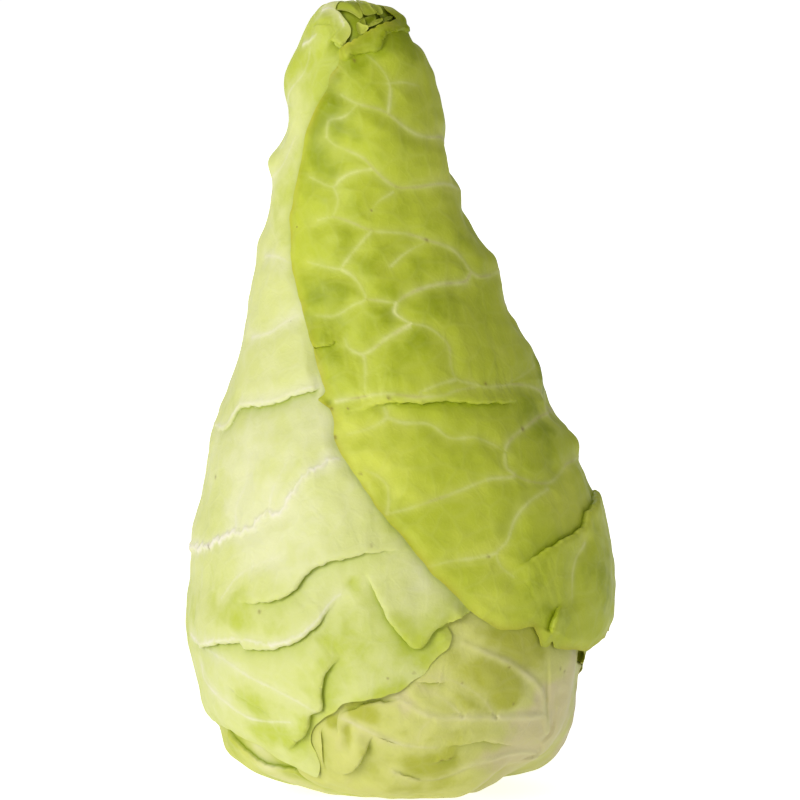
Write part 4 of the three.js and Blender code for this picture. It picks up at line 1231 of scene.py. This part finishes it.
class GrowingTree(Nodes):
    """A geometry node tree with named inputs."""

    def __init__(self, name, **inputs):
        super().__init__(bpy.data.node_groups.new(name, "GeometryNodeTree"))
        self.identifiers = {}
        for label, kind in inputs.items():
            socket = self.tree.interface.new_socket(label, in_out="INPUT", socket_type="NodeSocket" + kind)
            self.identifiers[label] = socket.identifier
        self.tree.interface.new_socket("Geometry", in_out="OUTPUT", socket_type="NodeSocketGeometry")
        self.given = self.tree.nodes.new("NodeGroupInput").outputs

    def finish(self, instances, material):
        """End the tree: real geometry with its material."""
        real = self.add("GeometryNodeRealizeInstances", {"Geometry": instances})
        finished = self.add("GeometryNodeSetMaterial", {"Geometry": real, "Material": material})
        self.tree.links.new(finished, self.tree.nodes.new("NodeGroupOutput").inputs[0])

    def grow(self, **values):
        """The plain mesh that the tree makes from these values of its inputs."""
        seedling = bpy.data.objects.new(self.tree.name, bpy.data.meshes.new(self.tree.name))
        bpy.context.scene.collection.objects.link(seedling)
        modifier = seedling.modifiers.new("grow", "NODES")
        modifier.node_group = self.tree
        for label, value in values.items():
            modifier[self.identifiers[label]] = value
        evaluated = seedling.evaluated_get(bpy.context.evaluated_depsgraph_get())
        mesh = bpy.data.meshes.new_from_object(evaluated)
        seedling.modifiers.remove(modifier)
        bpy.data.objects.remove(seedling)
        return mesh


def smooth_profile(corners, step):
    """Radii and heights along a smooth line through the given ones, a step apart."""
    rows = np.array(corners, float)
    curve = Curve(rows, np.hypot(*np.diff(rows, axis=0).T))
    return curve(np.linspace(0, curve.length, round(curve.length / step) + 1))


def turned_mesh(name, profile, middle, sides, unevenness, seed):
    """A closed turned shape from [radius, height] rows that go up from the axis and back to it."""
    turn = np.radians(np.arange(sides) * 360 / sides)
    rings = [np.stack([middle[0] + radius * np.cos(turn), middle[1] + radius * np.sin(turn),
                       np.full(sides, height)], axis=-1) for radius, height in profile[1:-1]]
    points = np.vstack([[(*middle, profile[0][1])], *rings, [(*middle, profile[-1][1])]])
    spoke = points - [*middle, 0]
    spoke[:, 2] = 0
    spoke /= np.maximum(np.linalg.norm(spoke, axis=1, keepdims=True), 1e-6)
    bumps = unevenness * waves(points, 9, seed) * ramp(points[:, 2], 0, 3)      # none on a cut face
    points += spoke * bumps[:, None]
    last = len(points) - 1
    faces = [(0, 1 + (i + 1) % sides, 1 + i) for i in range(sides)]
    for row in range(len(rings) - 1):
        low, high = 1 + row * sides, 1 + (row + 1) * sides
        faces += [(low + i, low + (i + 1) % sides, high + (i + 1) % sides, high + i) for i in range(sides)]
    top = last - sides
    faces += [(top + i, top + (i + 1) % sides, last) for i in range(sides)]
    mesh = bpy.data.meshes.new(name)
    mesh.from_pydata((points * MM).tolist(), [], faces)
    mesh.shade_smooth()
    mesh.set_sharp_from_angle(angle=math.radians(50))
    return mesh


STEM_RADIUS = 18.5
STEM_MIDDLE = (1, 0)
STEM_DISH = 0.7                 # the pith has dried back this far behind the rim of the cut
BUNDLES = 22
BUNDLE_RING = 12.5              # radius of the ring that they stand in
BUNDLE_LENGTH = 2.3             # half the length of one, before its size is varied
BUNDLE_HEIGHT = 0.45            # of their middles above the floor
BUNDLE_DRIFT = 0.6              # how far each strays from the ring
BUD_MIDDLE = (-2, 0)
BUD_LEAVES = 21
BUD_LEAVES_FROM = 70            # height of the lowest of them
BUD_LEAVES_RISE = 22            # and how far up the spiral goes
BUD_GIRTH = 7.5                 # radius of the spiral at its foot, and of a small leaf
CUT_STEP, SIDE_STEP = 0.6, 1.0  # between the rings of the stem's mesh


def stem_mesh():
    """The stem: a dished cut face, the round foot that the leaves grow from, and the core running up."""
    cut = []
    for radius in np.arange(0, STEM_RADIUS - 0.5, CUT_STEP):
        dish = STEM_DISH * float(ramp(radius, STEM_RADIUS - 0.8, 4))
        cut.append((radius, dish * (1 + 0.12 * math.sin(radius * 2.6))))
    side = smooth_profile([(STEM_RADIUS - 0.3, 0), (STEM_RADIUS + 0.1, 0.5), (STEM_RADIUS, 8), (15, 24),
                           (12, 42), (7, 56), (3, 61), (0, 62)], SIDE_STEP)
    return turned_mesh("cut_stem", [*cut, *side.tolist()], STEM_MIDDLE, sides=96, unevenness=0.25, seed=301)


def bundle_tree():
    """Woody bundles standing in a ring on the cut face, each a flat oval that points to the middle."""
    tree = GrowingTree("stem_bundles", Count="Int", Radius="Float", Length="Float", Seed="Int",
                       Finish="Material")
    given = tree.given
    circle = tree.add("GeometryNodeMeshCircle", {"Vertices": given["Count"], "Radius": given["Radius"]})
    furthest = BUNDLE_DRIFT * MM
    drift = tree.add("FunctionNodeRandomValue", {0: (-furthest, -furthest, 0), 1: (furthest, furthest, 0),
                                                 "Seed": given["Seed"]}, data_type="FLOAT_VECTOR")
    circle = tree.add("GeometryNodeSetPosition", {"Geometry": circle, "Offset": drift})
    oval = tree.add("GeometryNodeMeshUVSphere", {"Segments": 16, "Rings": 8, "Radius": given["Length"]})
    place = tree.add("ShaderNodeSeparateXYZ", {0: tree.add("GeometryNodeInputPosition")})
    y = place.node.outputs[1]
    turn = tree.add("ShaderNodeCombineXYZ", {2: tree.math("ARCTAN2", y, place)})
    size = tree.add("FunctionNodeRandomValue", {2: 0.6, 3: 1.15, "Seed": given["Seed"]}, output=1,
                    data_type="FLOAT")
    scale = tree.add("ShaderNodeCombineXYZ", {0: size, 1: tree.times(size, 0.42), 2: 0.16})
    instances = tree.add("GeometryNodeInstanceOnPoints", {"Points": circle, "Instance": oval,
                                                          "Rotation": turn, "Scale": scale})
    tree.finish(instances, given["Finish"])
    return tree


def bud_tree():
    """Small cupped leaves standing round the bud in a spiral, each a golden angle on from the last."""
    tree = GrowingTree("bud_leaves", Count="Int", Turn="Float", Height="Float", Girth="Float",
                       Finish="Material")
    given = tree.given
    line = tree.add("GeometryNodeMeshLine", {"Count": given["Count"]})
    index = tree.add("GeometryNodeInputIndex")
    share = tree.math("DIVIDE", index, given["Count"])
    angle = tree.times(index, given["Turn"])
    narrowing = tree.math("SQRT", tree.math("SUBTRACT", 1.0, tree.times(share, 0.9)))
    reach = tree.times(given["Girth"], narrowing)
    place = tree.add("ShaderNodeCombineXYZ", {0: tree.times(reach, tree.math("COSINE", angle)),
                                              1: tree.times(reach, tree.math("SINE", angle)),
                                              2: tree.times(share, given["Height"])})
    points = tree.add("GeometryNodeSetPosition", {"Geometry": line, "Position": place})

    # A ball pressed flat, bent round the bud and leaning in over it: how hollow it is and how far it leans
    # grow with the square of the distance from its middle.
    blade = tree.add("GeometryNodeMeshUVSphere", {"Segments": 24, "Rings": 16, "Radius": BUD_GIRTH * MM})
    where = tree.add("ShaderNodeSeparateXYZ", {0: tree.add("GeometryNodeInputPosition")})
    across, up = where.node.outputs[1], where.node.outputs[2]
    cupped = tree.math("SUBTRACT", tree.times(where, 0.1), tree.times(tree.times(across, across), 62.0))
    leaning = tree.math("SUBTRACT", cupped, tree.times(tree.times(up, up), 22.0))
    blade = tree.add("GeometryNodeSetPosition", {"Geometry": blade, "Position": tree.add(
        "ShaderNodeCombineXYZ", {0: leaning, 1: tree.times(across, 0.85), 2: up})})
    blade = tree.add("GeometryNodeSetShadeSmooth", {"Geometry": blade})
    turned = tree.add("ShaderNodeCombineXYZ", {1: tree.times(share, -0.5), 2: angle})
    size = tree.math("SUBTRACT", 1.15, tree.times(share, 0.6))
    sizes = tree.add("ShaderNodeCombineXYZ", {0: size, 1: size, 2: size})
    instances = tree.add("GeometryNodeInstanceOnPoints", {"Points": points, "Instance": blade,
                                                          "Rotation": turned, "Scale": sizes})
    tree.finish(instances, given["Finish"])
    return tree


def moved(mesh, x, y, z):
    """A mesh moved by so many millimetres."""
    mesh.transform(Matrix.Translation((x * MM, y * MM, z * MM)))
    return mesh


def bud_core_mesh():
    """The bud itself, which the small leaves stand round."""
    profile = smooth_profile([(0, 65), (5, 66), (7.5, 69), (8.2, 76), (7, 85), (4, 92), (0, 95)], 0.8)
    return turned_mesh("heart_bud", profile.tolist(), BUD_MIDDLE, sides=48, unevenness=0.2, seed=302)


# ---- Finishes ----

def paint(red, green, blue):
    """A shader colour from red, green and blue up to 255."""
    shares = np.array([red, green, blue]) / 255
    linear = np.where(shares <= 0.04045, shares / 12.92, ((shares + 0.055) / 1.055) ** 2.4)
    return (*linear.tolist(), 1)


class Finish(Nodes):
    """A procedural material, with short ways to add the nodes that the cabbage's finishes use."""

    def __init__(self, name, roughness=0.5, specular=0.35, soft=0.0):
        self.material = bpy.data.materials.new(name)
        self.material.use_nodes = True
        super().__init__(self.material.node_tree)
        self.shader = self.tree.nodes["Principled BSDF"]
        self.feed(self.shader, {"Roughness": roughness, "Specular IOR Level": specular,
                                "Subsurface Weight": soft, "Subsurface Radius": (1.0, 0.95, 0.3),
                                "Subsurface Scale": 1.6 * MM})
        self.place = self.add("ShaderNodeTexCoord", output="Object")

    def mask(self, name):
        """A mesh attribute, from 0 to 1."""
        return self.add("ShaderNodeAttribute", output="Fac", attribute_name=name)

    def vector(self, operation, first, second):
        """A sum of two vectors."""
        return self.add("ShaderNodeVectorMath", {0: first, 1: second}, operation=operation)

    def fit(self, value, low, high, to_low=0.0, to_high=1.0):
        """A value from low to high turned smoothly into one from to_low to to_high."""
        return self.add("ShaderNodeMapRange", {"Value": value, "From Min": low, "From Max": high,
                                               "To Min": to_low, "To Max": to_high},
                        output="Result", interpolation_type="SMOOTHSTEP")

    def noise(self, size, detail=2.0, warp=0.0, output="Fac"):
        """Cloudy noise, 0 to 1, with clouds about this many millimetres across."""
        return self.add("ShaderNodeTexNoise", {"Vector": self.place, "Scale": 1 / (size * MM),
                                               "Detail": detail, "Distortion": warp}, output)

    def wavering(self, size, amount):
        """Object coordinates that waver by so many millimetres over a distance of size."""
        shift = self.vector("SUBTRACT", self.noise(size, output="Color"), (0.5, 0.5, 0.5))
        shift = self.add("ShaderNodeVectorMath", {0: shift, "Scale": amount * MM}, operation="SCALE")
        return self.vector("ADD", self.place, shift)

    def net(self, cell, line, place):
        """1 on the lines of a net with cells this many millimetres across, 0 away from them."""
        distance = self.add("ShaderNodeTexVoronoi", {"Vector": place, "Scale": 1 / (cell * MM)},
                            output="Distance", feature="DISTANCE_TO_EDGE")
        return self.fit(distance, 0.0, line / cell, 1.0, 0.0)

    def dots(self, spacing, radius, share):
        """1 on small dots this many millimetres apart, of which only a share is there."""
        distance = self.add("ShaderNodeTexVoronoi", {"Vector": self.place, "Scale": 1 / (spacing * MM)},
                            output="Distance")
        dot = self.fit(distance, 0.5 * radius / spacing, radius / spacing, 1.0, 0.0)
        chance = self.add("ShaderNodeSeparateColor", {"Color": distance.node.outputs["Color"]},
                          output="Red")
        return self.times(dot, self.math("LESS_THAN", chance, share))

    def blend(self, amount, first, second):
        """From the first colour to the second as the amount goes from 0 to 1. A colour is a node's output,
        or red, green and blue up to 255."""
        first, second = (colour if isinstance(colour, bpy.types.NodeSocket) else paint(*colour)
                         for colour in (first, second))
        return self.add("ShaderNodeMix", {"Factor": amount, 6: first, 7: second}, output=2,
                        data_type="RGBA")

    def finish(self, colour, bump, strength, depth):
        """Join up the colour and a bump so many millimetres deep."""
        normal = self.add("ShaderNodeBump", {"Height": bump, "Strength": strength, "Distance": depth * MM})
        self.feed(self.shader, {"Base Color": colour, "Normal": normal})
        return self.material


SPECK_BROWN = (116, 92, 44)
VEIN_BROWN = (146, 118, 58)


def leaf_finish(name, pale, middle, deep, vein, crease_shade_and_blotch, margin, netting, blotches, soft, cells=0.2):
    """A leaf: cloudy colour, veins and their fine net, painted shade in creases and beside covering margins,
    a thin margin and a few specks.

    Netting and blotches say how strongly those show, cells how much deeper the blade is away from veins."""
    leaf = Finish(name, specular=0.22, soft=soft)
    shade = leaf.math("ADD", leaf.mask("shade"), leaf.fit(leaf.noise(19), 0.3, 0.7, -0.16, 0.16))
    shade = leaf.math("ADD", shade, leaf.fit(leaf.noise(4.5, detail=4), 0.3, 0.7, -0.07, 0.07))
    shade = leaf.math("ADD", shade, leaf.fit(leaf.mask("cell"), 0.0, 1.0, -0.5 * cells, 0.5 * cells))
    colour = leaf.blend(leaf.fit(shade, 0.0, 0.5), pale, middle)
    colour = leaf.blend(leaf.fit(shade, 0.5, 1.0), colour, deep)
    blotch = leaf.fit(leaf.noise(7, detail=3, warp=0.6), 0.6, 0.8)
    # Random blotches use the same green as the painted crease shade.
    colour = leaf.blend(leaf.times(blotch, blotches), colour, crease_shade_and_blotch)

    wavering = leaf.wavering(9, 3.5)
    net = leaf.math("MAXIMUM", leaf.times(leaf.net(9, 1.1, wavering), 0.8),
                    leaf.times(leaf.net(3.2, 0.5, wavering), 0.35))
    colour = leaf.blend(leaf.times(net, netting), colour, vein)
    veined = leaf.times(leaf.mask("vein"), leaf.fit(leaf.noise(7), 0.3, 0.68, 0.5, 1.0))
    colour = leaf.blend(veined, colour, vein)
    core = leaf.times(leaf.mask("brown"), leaf.fit(leaf.noise(13, detail=3), 0.42, 0.6, 0.0, 0.8))
    colour = leaf.blend(core, colour, VEIN_BROWN)
    # Painted shade in creases and beside covering margins.
    colour = leaf.blend(leaf.times(leaf.mask("crease_shade_and_blotch"), 0.85), colour, crease_shade_and_blotch)
    edge = leaf.times(leaf.mask("edge"), leaf.fit(leaf.noise(8, detail=3), 0.35, 0.65, 0.2, 0.9))
    colour = leaf.blend(edge, colour, margin)
    specks = leaf.math("MAXIMUM", leaf.times(leaf.dots(11, 0.4, 0.25), 0.7),
                       leaf.times(leaf.mask("mark"), 0.8))
    colour = leaf.blend(specks, colour, SPECK_BROWN)

    leaf.feed(leaf.shader, {"Roughness": leaf.fit(leaf.noise(5, detail=3), 0.3, 0.7, 0.42, 0.56)})
    grain = leaf.math("ADD", leaf.noise(0.9, detail=2), leaf.times(leaf.noise(3.2), 1.5))
    bump = leaf.math("ADD", leaf.times(grain, 0.5), leaf.times(net, 0.5))
    return leaf.finish(colour, bump, 0.3, 0.35)


FINISHES = {
    "hood_leaf": leaf_finish(
        "hood_leaf_green", pale=(204, 210, 80), middle=(181, 191, 54), deep=(140, 154, 6),
        vein=(218, 220, 146), crease_shade_and_blotch=(148, 164, 10), margin=(182, 178, 54), netting=0.07,
        blotches=0.1, soft=0.12, cells=0.12),
    "back_leaf": leaf_finish(
        "back_leaf_green", pale=(190, 198, 78), middle=(165, 175, 50), deep=(128, 134, 16),
        vein=(206, 210, 130), crease_shade_and_blotch=(136, 150, 20), margin=(180, 172, 66), netting=0.12,
        blotches=0.2, soft=0.12),
    "side_leaf": leaf_finish(
        "side_leaf_pale", pale=(218, 219, 165), middle=(208, 212, 134), deep=(184, 194, 70),
        vein=(226, 222, 196), crease_shade_and_blotch=(150, 166, 30), margin=(202, 208, 96), netting=0.08,
        blotches=0.1, soft=0.15, cells=0.15),
    # Beige at its palest; its middle and deep greens are a little darker than the side leaf's, partly as
    # painted shade.
    "base_leaf": leaf_finish(
        "base_leaf_pale", pale=(210, 199, 148), middle=(204, 204, 116), deep=(176, 178, 64),
        vein=(212, 206, 154), crease_shade_and_blotch=(150, 158, 38), margin=(198, 196, 100), netting=0.1,
        blotches=0.15, soft=0.15),
    "low_leaf": leaf_finish(
        "low_leaf_pale", pale=(216, 215, 136), middle=(202, 204, 100), deep=(178, 186, 56),
        vein=(220, 217, 166), crease_shade_and_blotch=(132, 150, 14), margin=(200, 202, 88), netting=0.1,
        blotches=0.15, soft=0.15),
    "tip_leaves": leaf_finish(
        "tip_leaf_green", pale=(196, 203, 88), middle=(166, 178, 36), deep=(126, 142, 4),
        vein=(206, 210, 110), crease_shade_and_blotch=(104, 118, 10), margin=(190, 194, 84), netting=0.08,
        blotches=0.15, soft=0.12),
    "heart_leaf": leaf_finish(
        "heart_leaf_cream", pale=(236, 234, 200), middle=(230, 230, 180), deep=(214, 218, 140),
        vein=(240, 237, 218), crease_shade_and_blotch=(202, 204, 114), margin=(220, 222, 134), netting=0.1,
        blotches=0.1, soft=0.15),
}


GREEN_RING = 0.68               # where the greener ring is, as a share of the cut's radius


def stem_finish(name, radius):
    """Cut stem: cream pith, a greener ring where the bundles stand, a rind, and browning from drying."""
    stem = Finish(name, roughness=0.6, specular=0.25, soft=0.1)
    flat = stem.vector("ADD", stem.wavering(4, 1.2), (-STEM_MIDDLE[0] * MM, 0, 0))
    flat = stem.vector("MULTIPLY", flat, (1, 1, 0))
    out = stem.add("ShaderNodeVectorMath", {0: flat}, output="Value", operation="LENGTH")
    share = stem.math("DIVIDE", out, radius * MM)
    pith = stem.fit(stem.noise(5, detail=4), 0.35, 0.65)
    colour = stem.blend(pith, (232, 226, 188), (216, 208, 162))
    from_ring = stem.math("ABSOLUTE", stem.math("SUBTRACT", share, GREEN_RING))
    colour = stem.blend(stem.times(stem.fit(from_ring, 0.03, 0.16, 1.0, 0.0), 0.7), colour,
                        (190, 188, 116))
    colour = stem.blend(stem.times(stem.fit(share, 0.86, 0.98), 0.8), colour, (204, 198, 128))
    browning = stem.times(stem.fit(stem.noise(8, detail=5, warp=0.8), 0.46, 0.68),
                          stem.fit(share, 0.1, 0.95, 0.35, 0.9))
    colour = stem.blend(browning, colour, (158, 116, 66))
    colour = stem.blend(stem.times(stem.dots(2.4, 0.5, 0.5), 0.5), colour, (176, 150, 98))
    fibre = stem.noise(0.7, detail=3)
    scores = stem.add("ShaderNodeTexWave", {"Vector": stem.place, "Scale": 55.0, "Distortion": 6.0,
                                            "Detail": 2.0}, output="Fac", bands_direction="Y")
    return stem.finish(colour, stem.math("ADD", fibre, stem.times(scores, 0.6)), 0.5, 0.3)


def bundle_finish(name):
    """The woody bundles of the cut: fibrous, drier and browner than the pith round them."""
    wood = Finish(name, roughness=0.65, specular=0.2)
    colour = wood.blend(wood.fit(wood.noise(1.5, detail=3), 0.35, 0.65), (206, 190, 132), (172, 142, 84))
    return wood.finish(colour, wood.noise(0.5, detail=3), 0.5, 0.2)


FINISHES["cut_stem"] = stem_finish("cut_stem_cream", STEM_RADIUS)
FINISHES["stem_bundles"] = bundle_finish("stem_bundle_tan")


# ---- Making the pieces ----

def put(mesh, node, material, name=None):
    """Put a finished mesh in the scene as the piece that stands for a node."""
    piece = bpy.data.objects.new(name or node + "_look", mesh)
    bpy.context.scene.collection.objects.link(piece)
    mesh.materials.clear()
    mesh.materials.append(material)
    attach(piece, "root")
    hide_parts(node)


for leaf in LEAVES:
    put(leaf_mesh(leaf), leaf.name, FINISHES.get(leaf.name, FINISHES["heart_leaf"]))
put(tip_leaves_mesh(), "tip_leaves", FINISHES["tip_leaves"])

put(stem_mesh(), "cut_stem", FINISHES["cut_stem"])
bundles = bundle_tree().grow(Count=BUNDLES, Radius=BUNDLE_RING * MM, Length=BUNDLE_LENGTH * MM, Seed=7,
                             Finish=FINISHES["stem_bundles"])
put(moved(bundles, *STEM_MIDDLE, BUNDLE_HEIGHT), "cut_stem", FINISHES["stem_bundles"],
    "stem_bundles_look")
put(bud_core_mesh(), "heart_bud", FINISHES["heart_leaf"])
bud_leaves = bud_tree().grow(Count=BUD_LEAVES, Turn=math.radians(INNER_TURN), Height=BUD_LEAVES_RISE * MM,
                             Girth=BUD_GIRTH * MM, Finish=FINISHES["heart_leaf"])
put(moved(bud_leaves, *BUD_MIDDLE, BUD_LEAVES_FROM), "heart_bud", FINISHES["heart_leaf"],
    "bud_leaves_look")


# ---- Floor, lights and camera ----

FLOOR_RADIUS = 9.0              # metres
FLOOR_GLOW, FLOOR_WHITE = 0.4, 0.78     # what the paper gives off as light, and as seen
ROOM_LIGHT = 0.28


def by_camera(tree, light, seen):
    """The strength that a surface gives light with, or for the camera the one that it is seen with."""
    camera = tree.add("ShaderNodeLightPath", output="Is Camera Ray")
    return tree.add("ShaderNodeMapRange", {"Value": camera, "To Min": light, "To Max": seen},
                    output="Result")


def pale_floor():
    """A round pale floor, as bright as its surroundings and open to a look from below."""
    turn = np.linspace(0, 2 * math.pi, 97)[:-1]
    mesh = bpy.data.meshes.new("pale_floor")
    mesh.from_pydata([(FLOOR_RADIUS * math.cos(t), FLOOR_RADIUS * math.sin(t), 0) for t in turn], [],
                     [tuple(range(len(turn)))])
    paper = bpy.data.materials.new("white_paper")
    paper.use_nodes = True
    tree, nodes = Nodes(paper.node_tree), paper.node_tree.nodes
    shader = nodes["Principled BSDF"]
    tree.feed(shader, {"Base Color": (0.93, 0.93, 0.925, 1), "Roughness": 0.9, "Specular IOR Level": 0.1,
                       "Emission Color": (1, 1, 1, 1),
                       "Emission Strength": by_camera(tree, FLOOR_GLOW, FLOOR_WHITE)})
    below = tree.add("ShaderNodeNewGeometry", output="Backfacing")
    tree.feed(nodes["Material Output"], {"Surface": tree.add("ShaderNodeMixShader", {
        "Fac": below, 1: shader.outputs["BSDF"], 2: tree.add("ShaderNodeBsdfTransparent")})})
    mesh.materials.append(paper)
    floor = bpy.data.objects.new("pale_floor", mesh)
    bpy.context.scene.collection.objects.link(floor)


def white_surroundings():
    """Even light from all round, which looks as white as the floor."""
    world = bpy.data.worlds.new("studio")
    world.use_nodes = True
    tree = Nodes(world.node_tree)
    tree.feed(tree.tree.nodes["Background"], {"Color": (1, 1, 1, 1),
                                              "Strength": by_camera(tree, ROOM_LIGHT, 1.0)})
    bpy.context.scene.world = world


def softbox(name, place, size, watts, aim=(0, 0, 0.11)):
    """A square area light that faces the head. Places are in metres."""
    light = bpy.data.lights.new(name, "AREA")
    light.shape, light.size, light.energy = "SQUARE", size, watts
    lamp = bpy.data.objects.new(name, light)
    lamp.location = place
    lamp.rotation_euler = (Vector(aim) - Vector(place)).to_track_quat("-Z", "Y").to_euler()
    lamp.visible_camera = False
    bpy.context.scene.collection.objects.link(lamp)


def light_and_camera():
    """Four softboxes, and a long lens from the front whose height and tilt the front elevation follows."""
    softbox("key_softbox", (-0.95, -1.1, 0.5), 0.8, 14)
    softbox("fill_softbox", (1.3, -0.9, 0.3), 1.2, 1.2)
    softbox("top_softbox", (-0.2, 0.2, 1.5), 1.0, 3)
    softbox("back_softbox", (-0.5, 1.6, 0.7), 1.0, 5)
    scene = bpy.context.scene
    scene.view_settings.view_transform = "Standard"
    camera_data = bpy.data.cameras.new("camera")
    camera_data.lens = camera_data.sensor_width * VIEW_DISTANCE / VIEW_SPAN
    camera_data.clip_start, camera_data.clip_end = 0.05, 50
    camera = bpy.data.objects.new("camera", camera_data)
    camera.location = (0, -VIEW_DISTANCE * math.cos(VIEW_TILT) * MM,
                       (VIEW_AIM + VIEW_DISTANCE * math.sin(VIEW_TILT)) * MM)
    camera.rotation_euler = (math.pi / 2 - VIEW_TILT, 0, 0)
    scene.collection.objects.link(camera)
    scene.camera = camera


pale_floor()
white_surroundings()
light_and_camera()
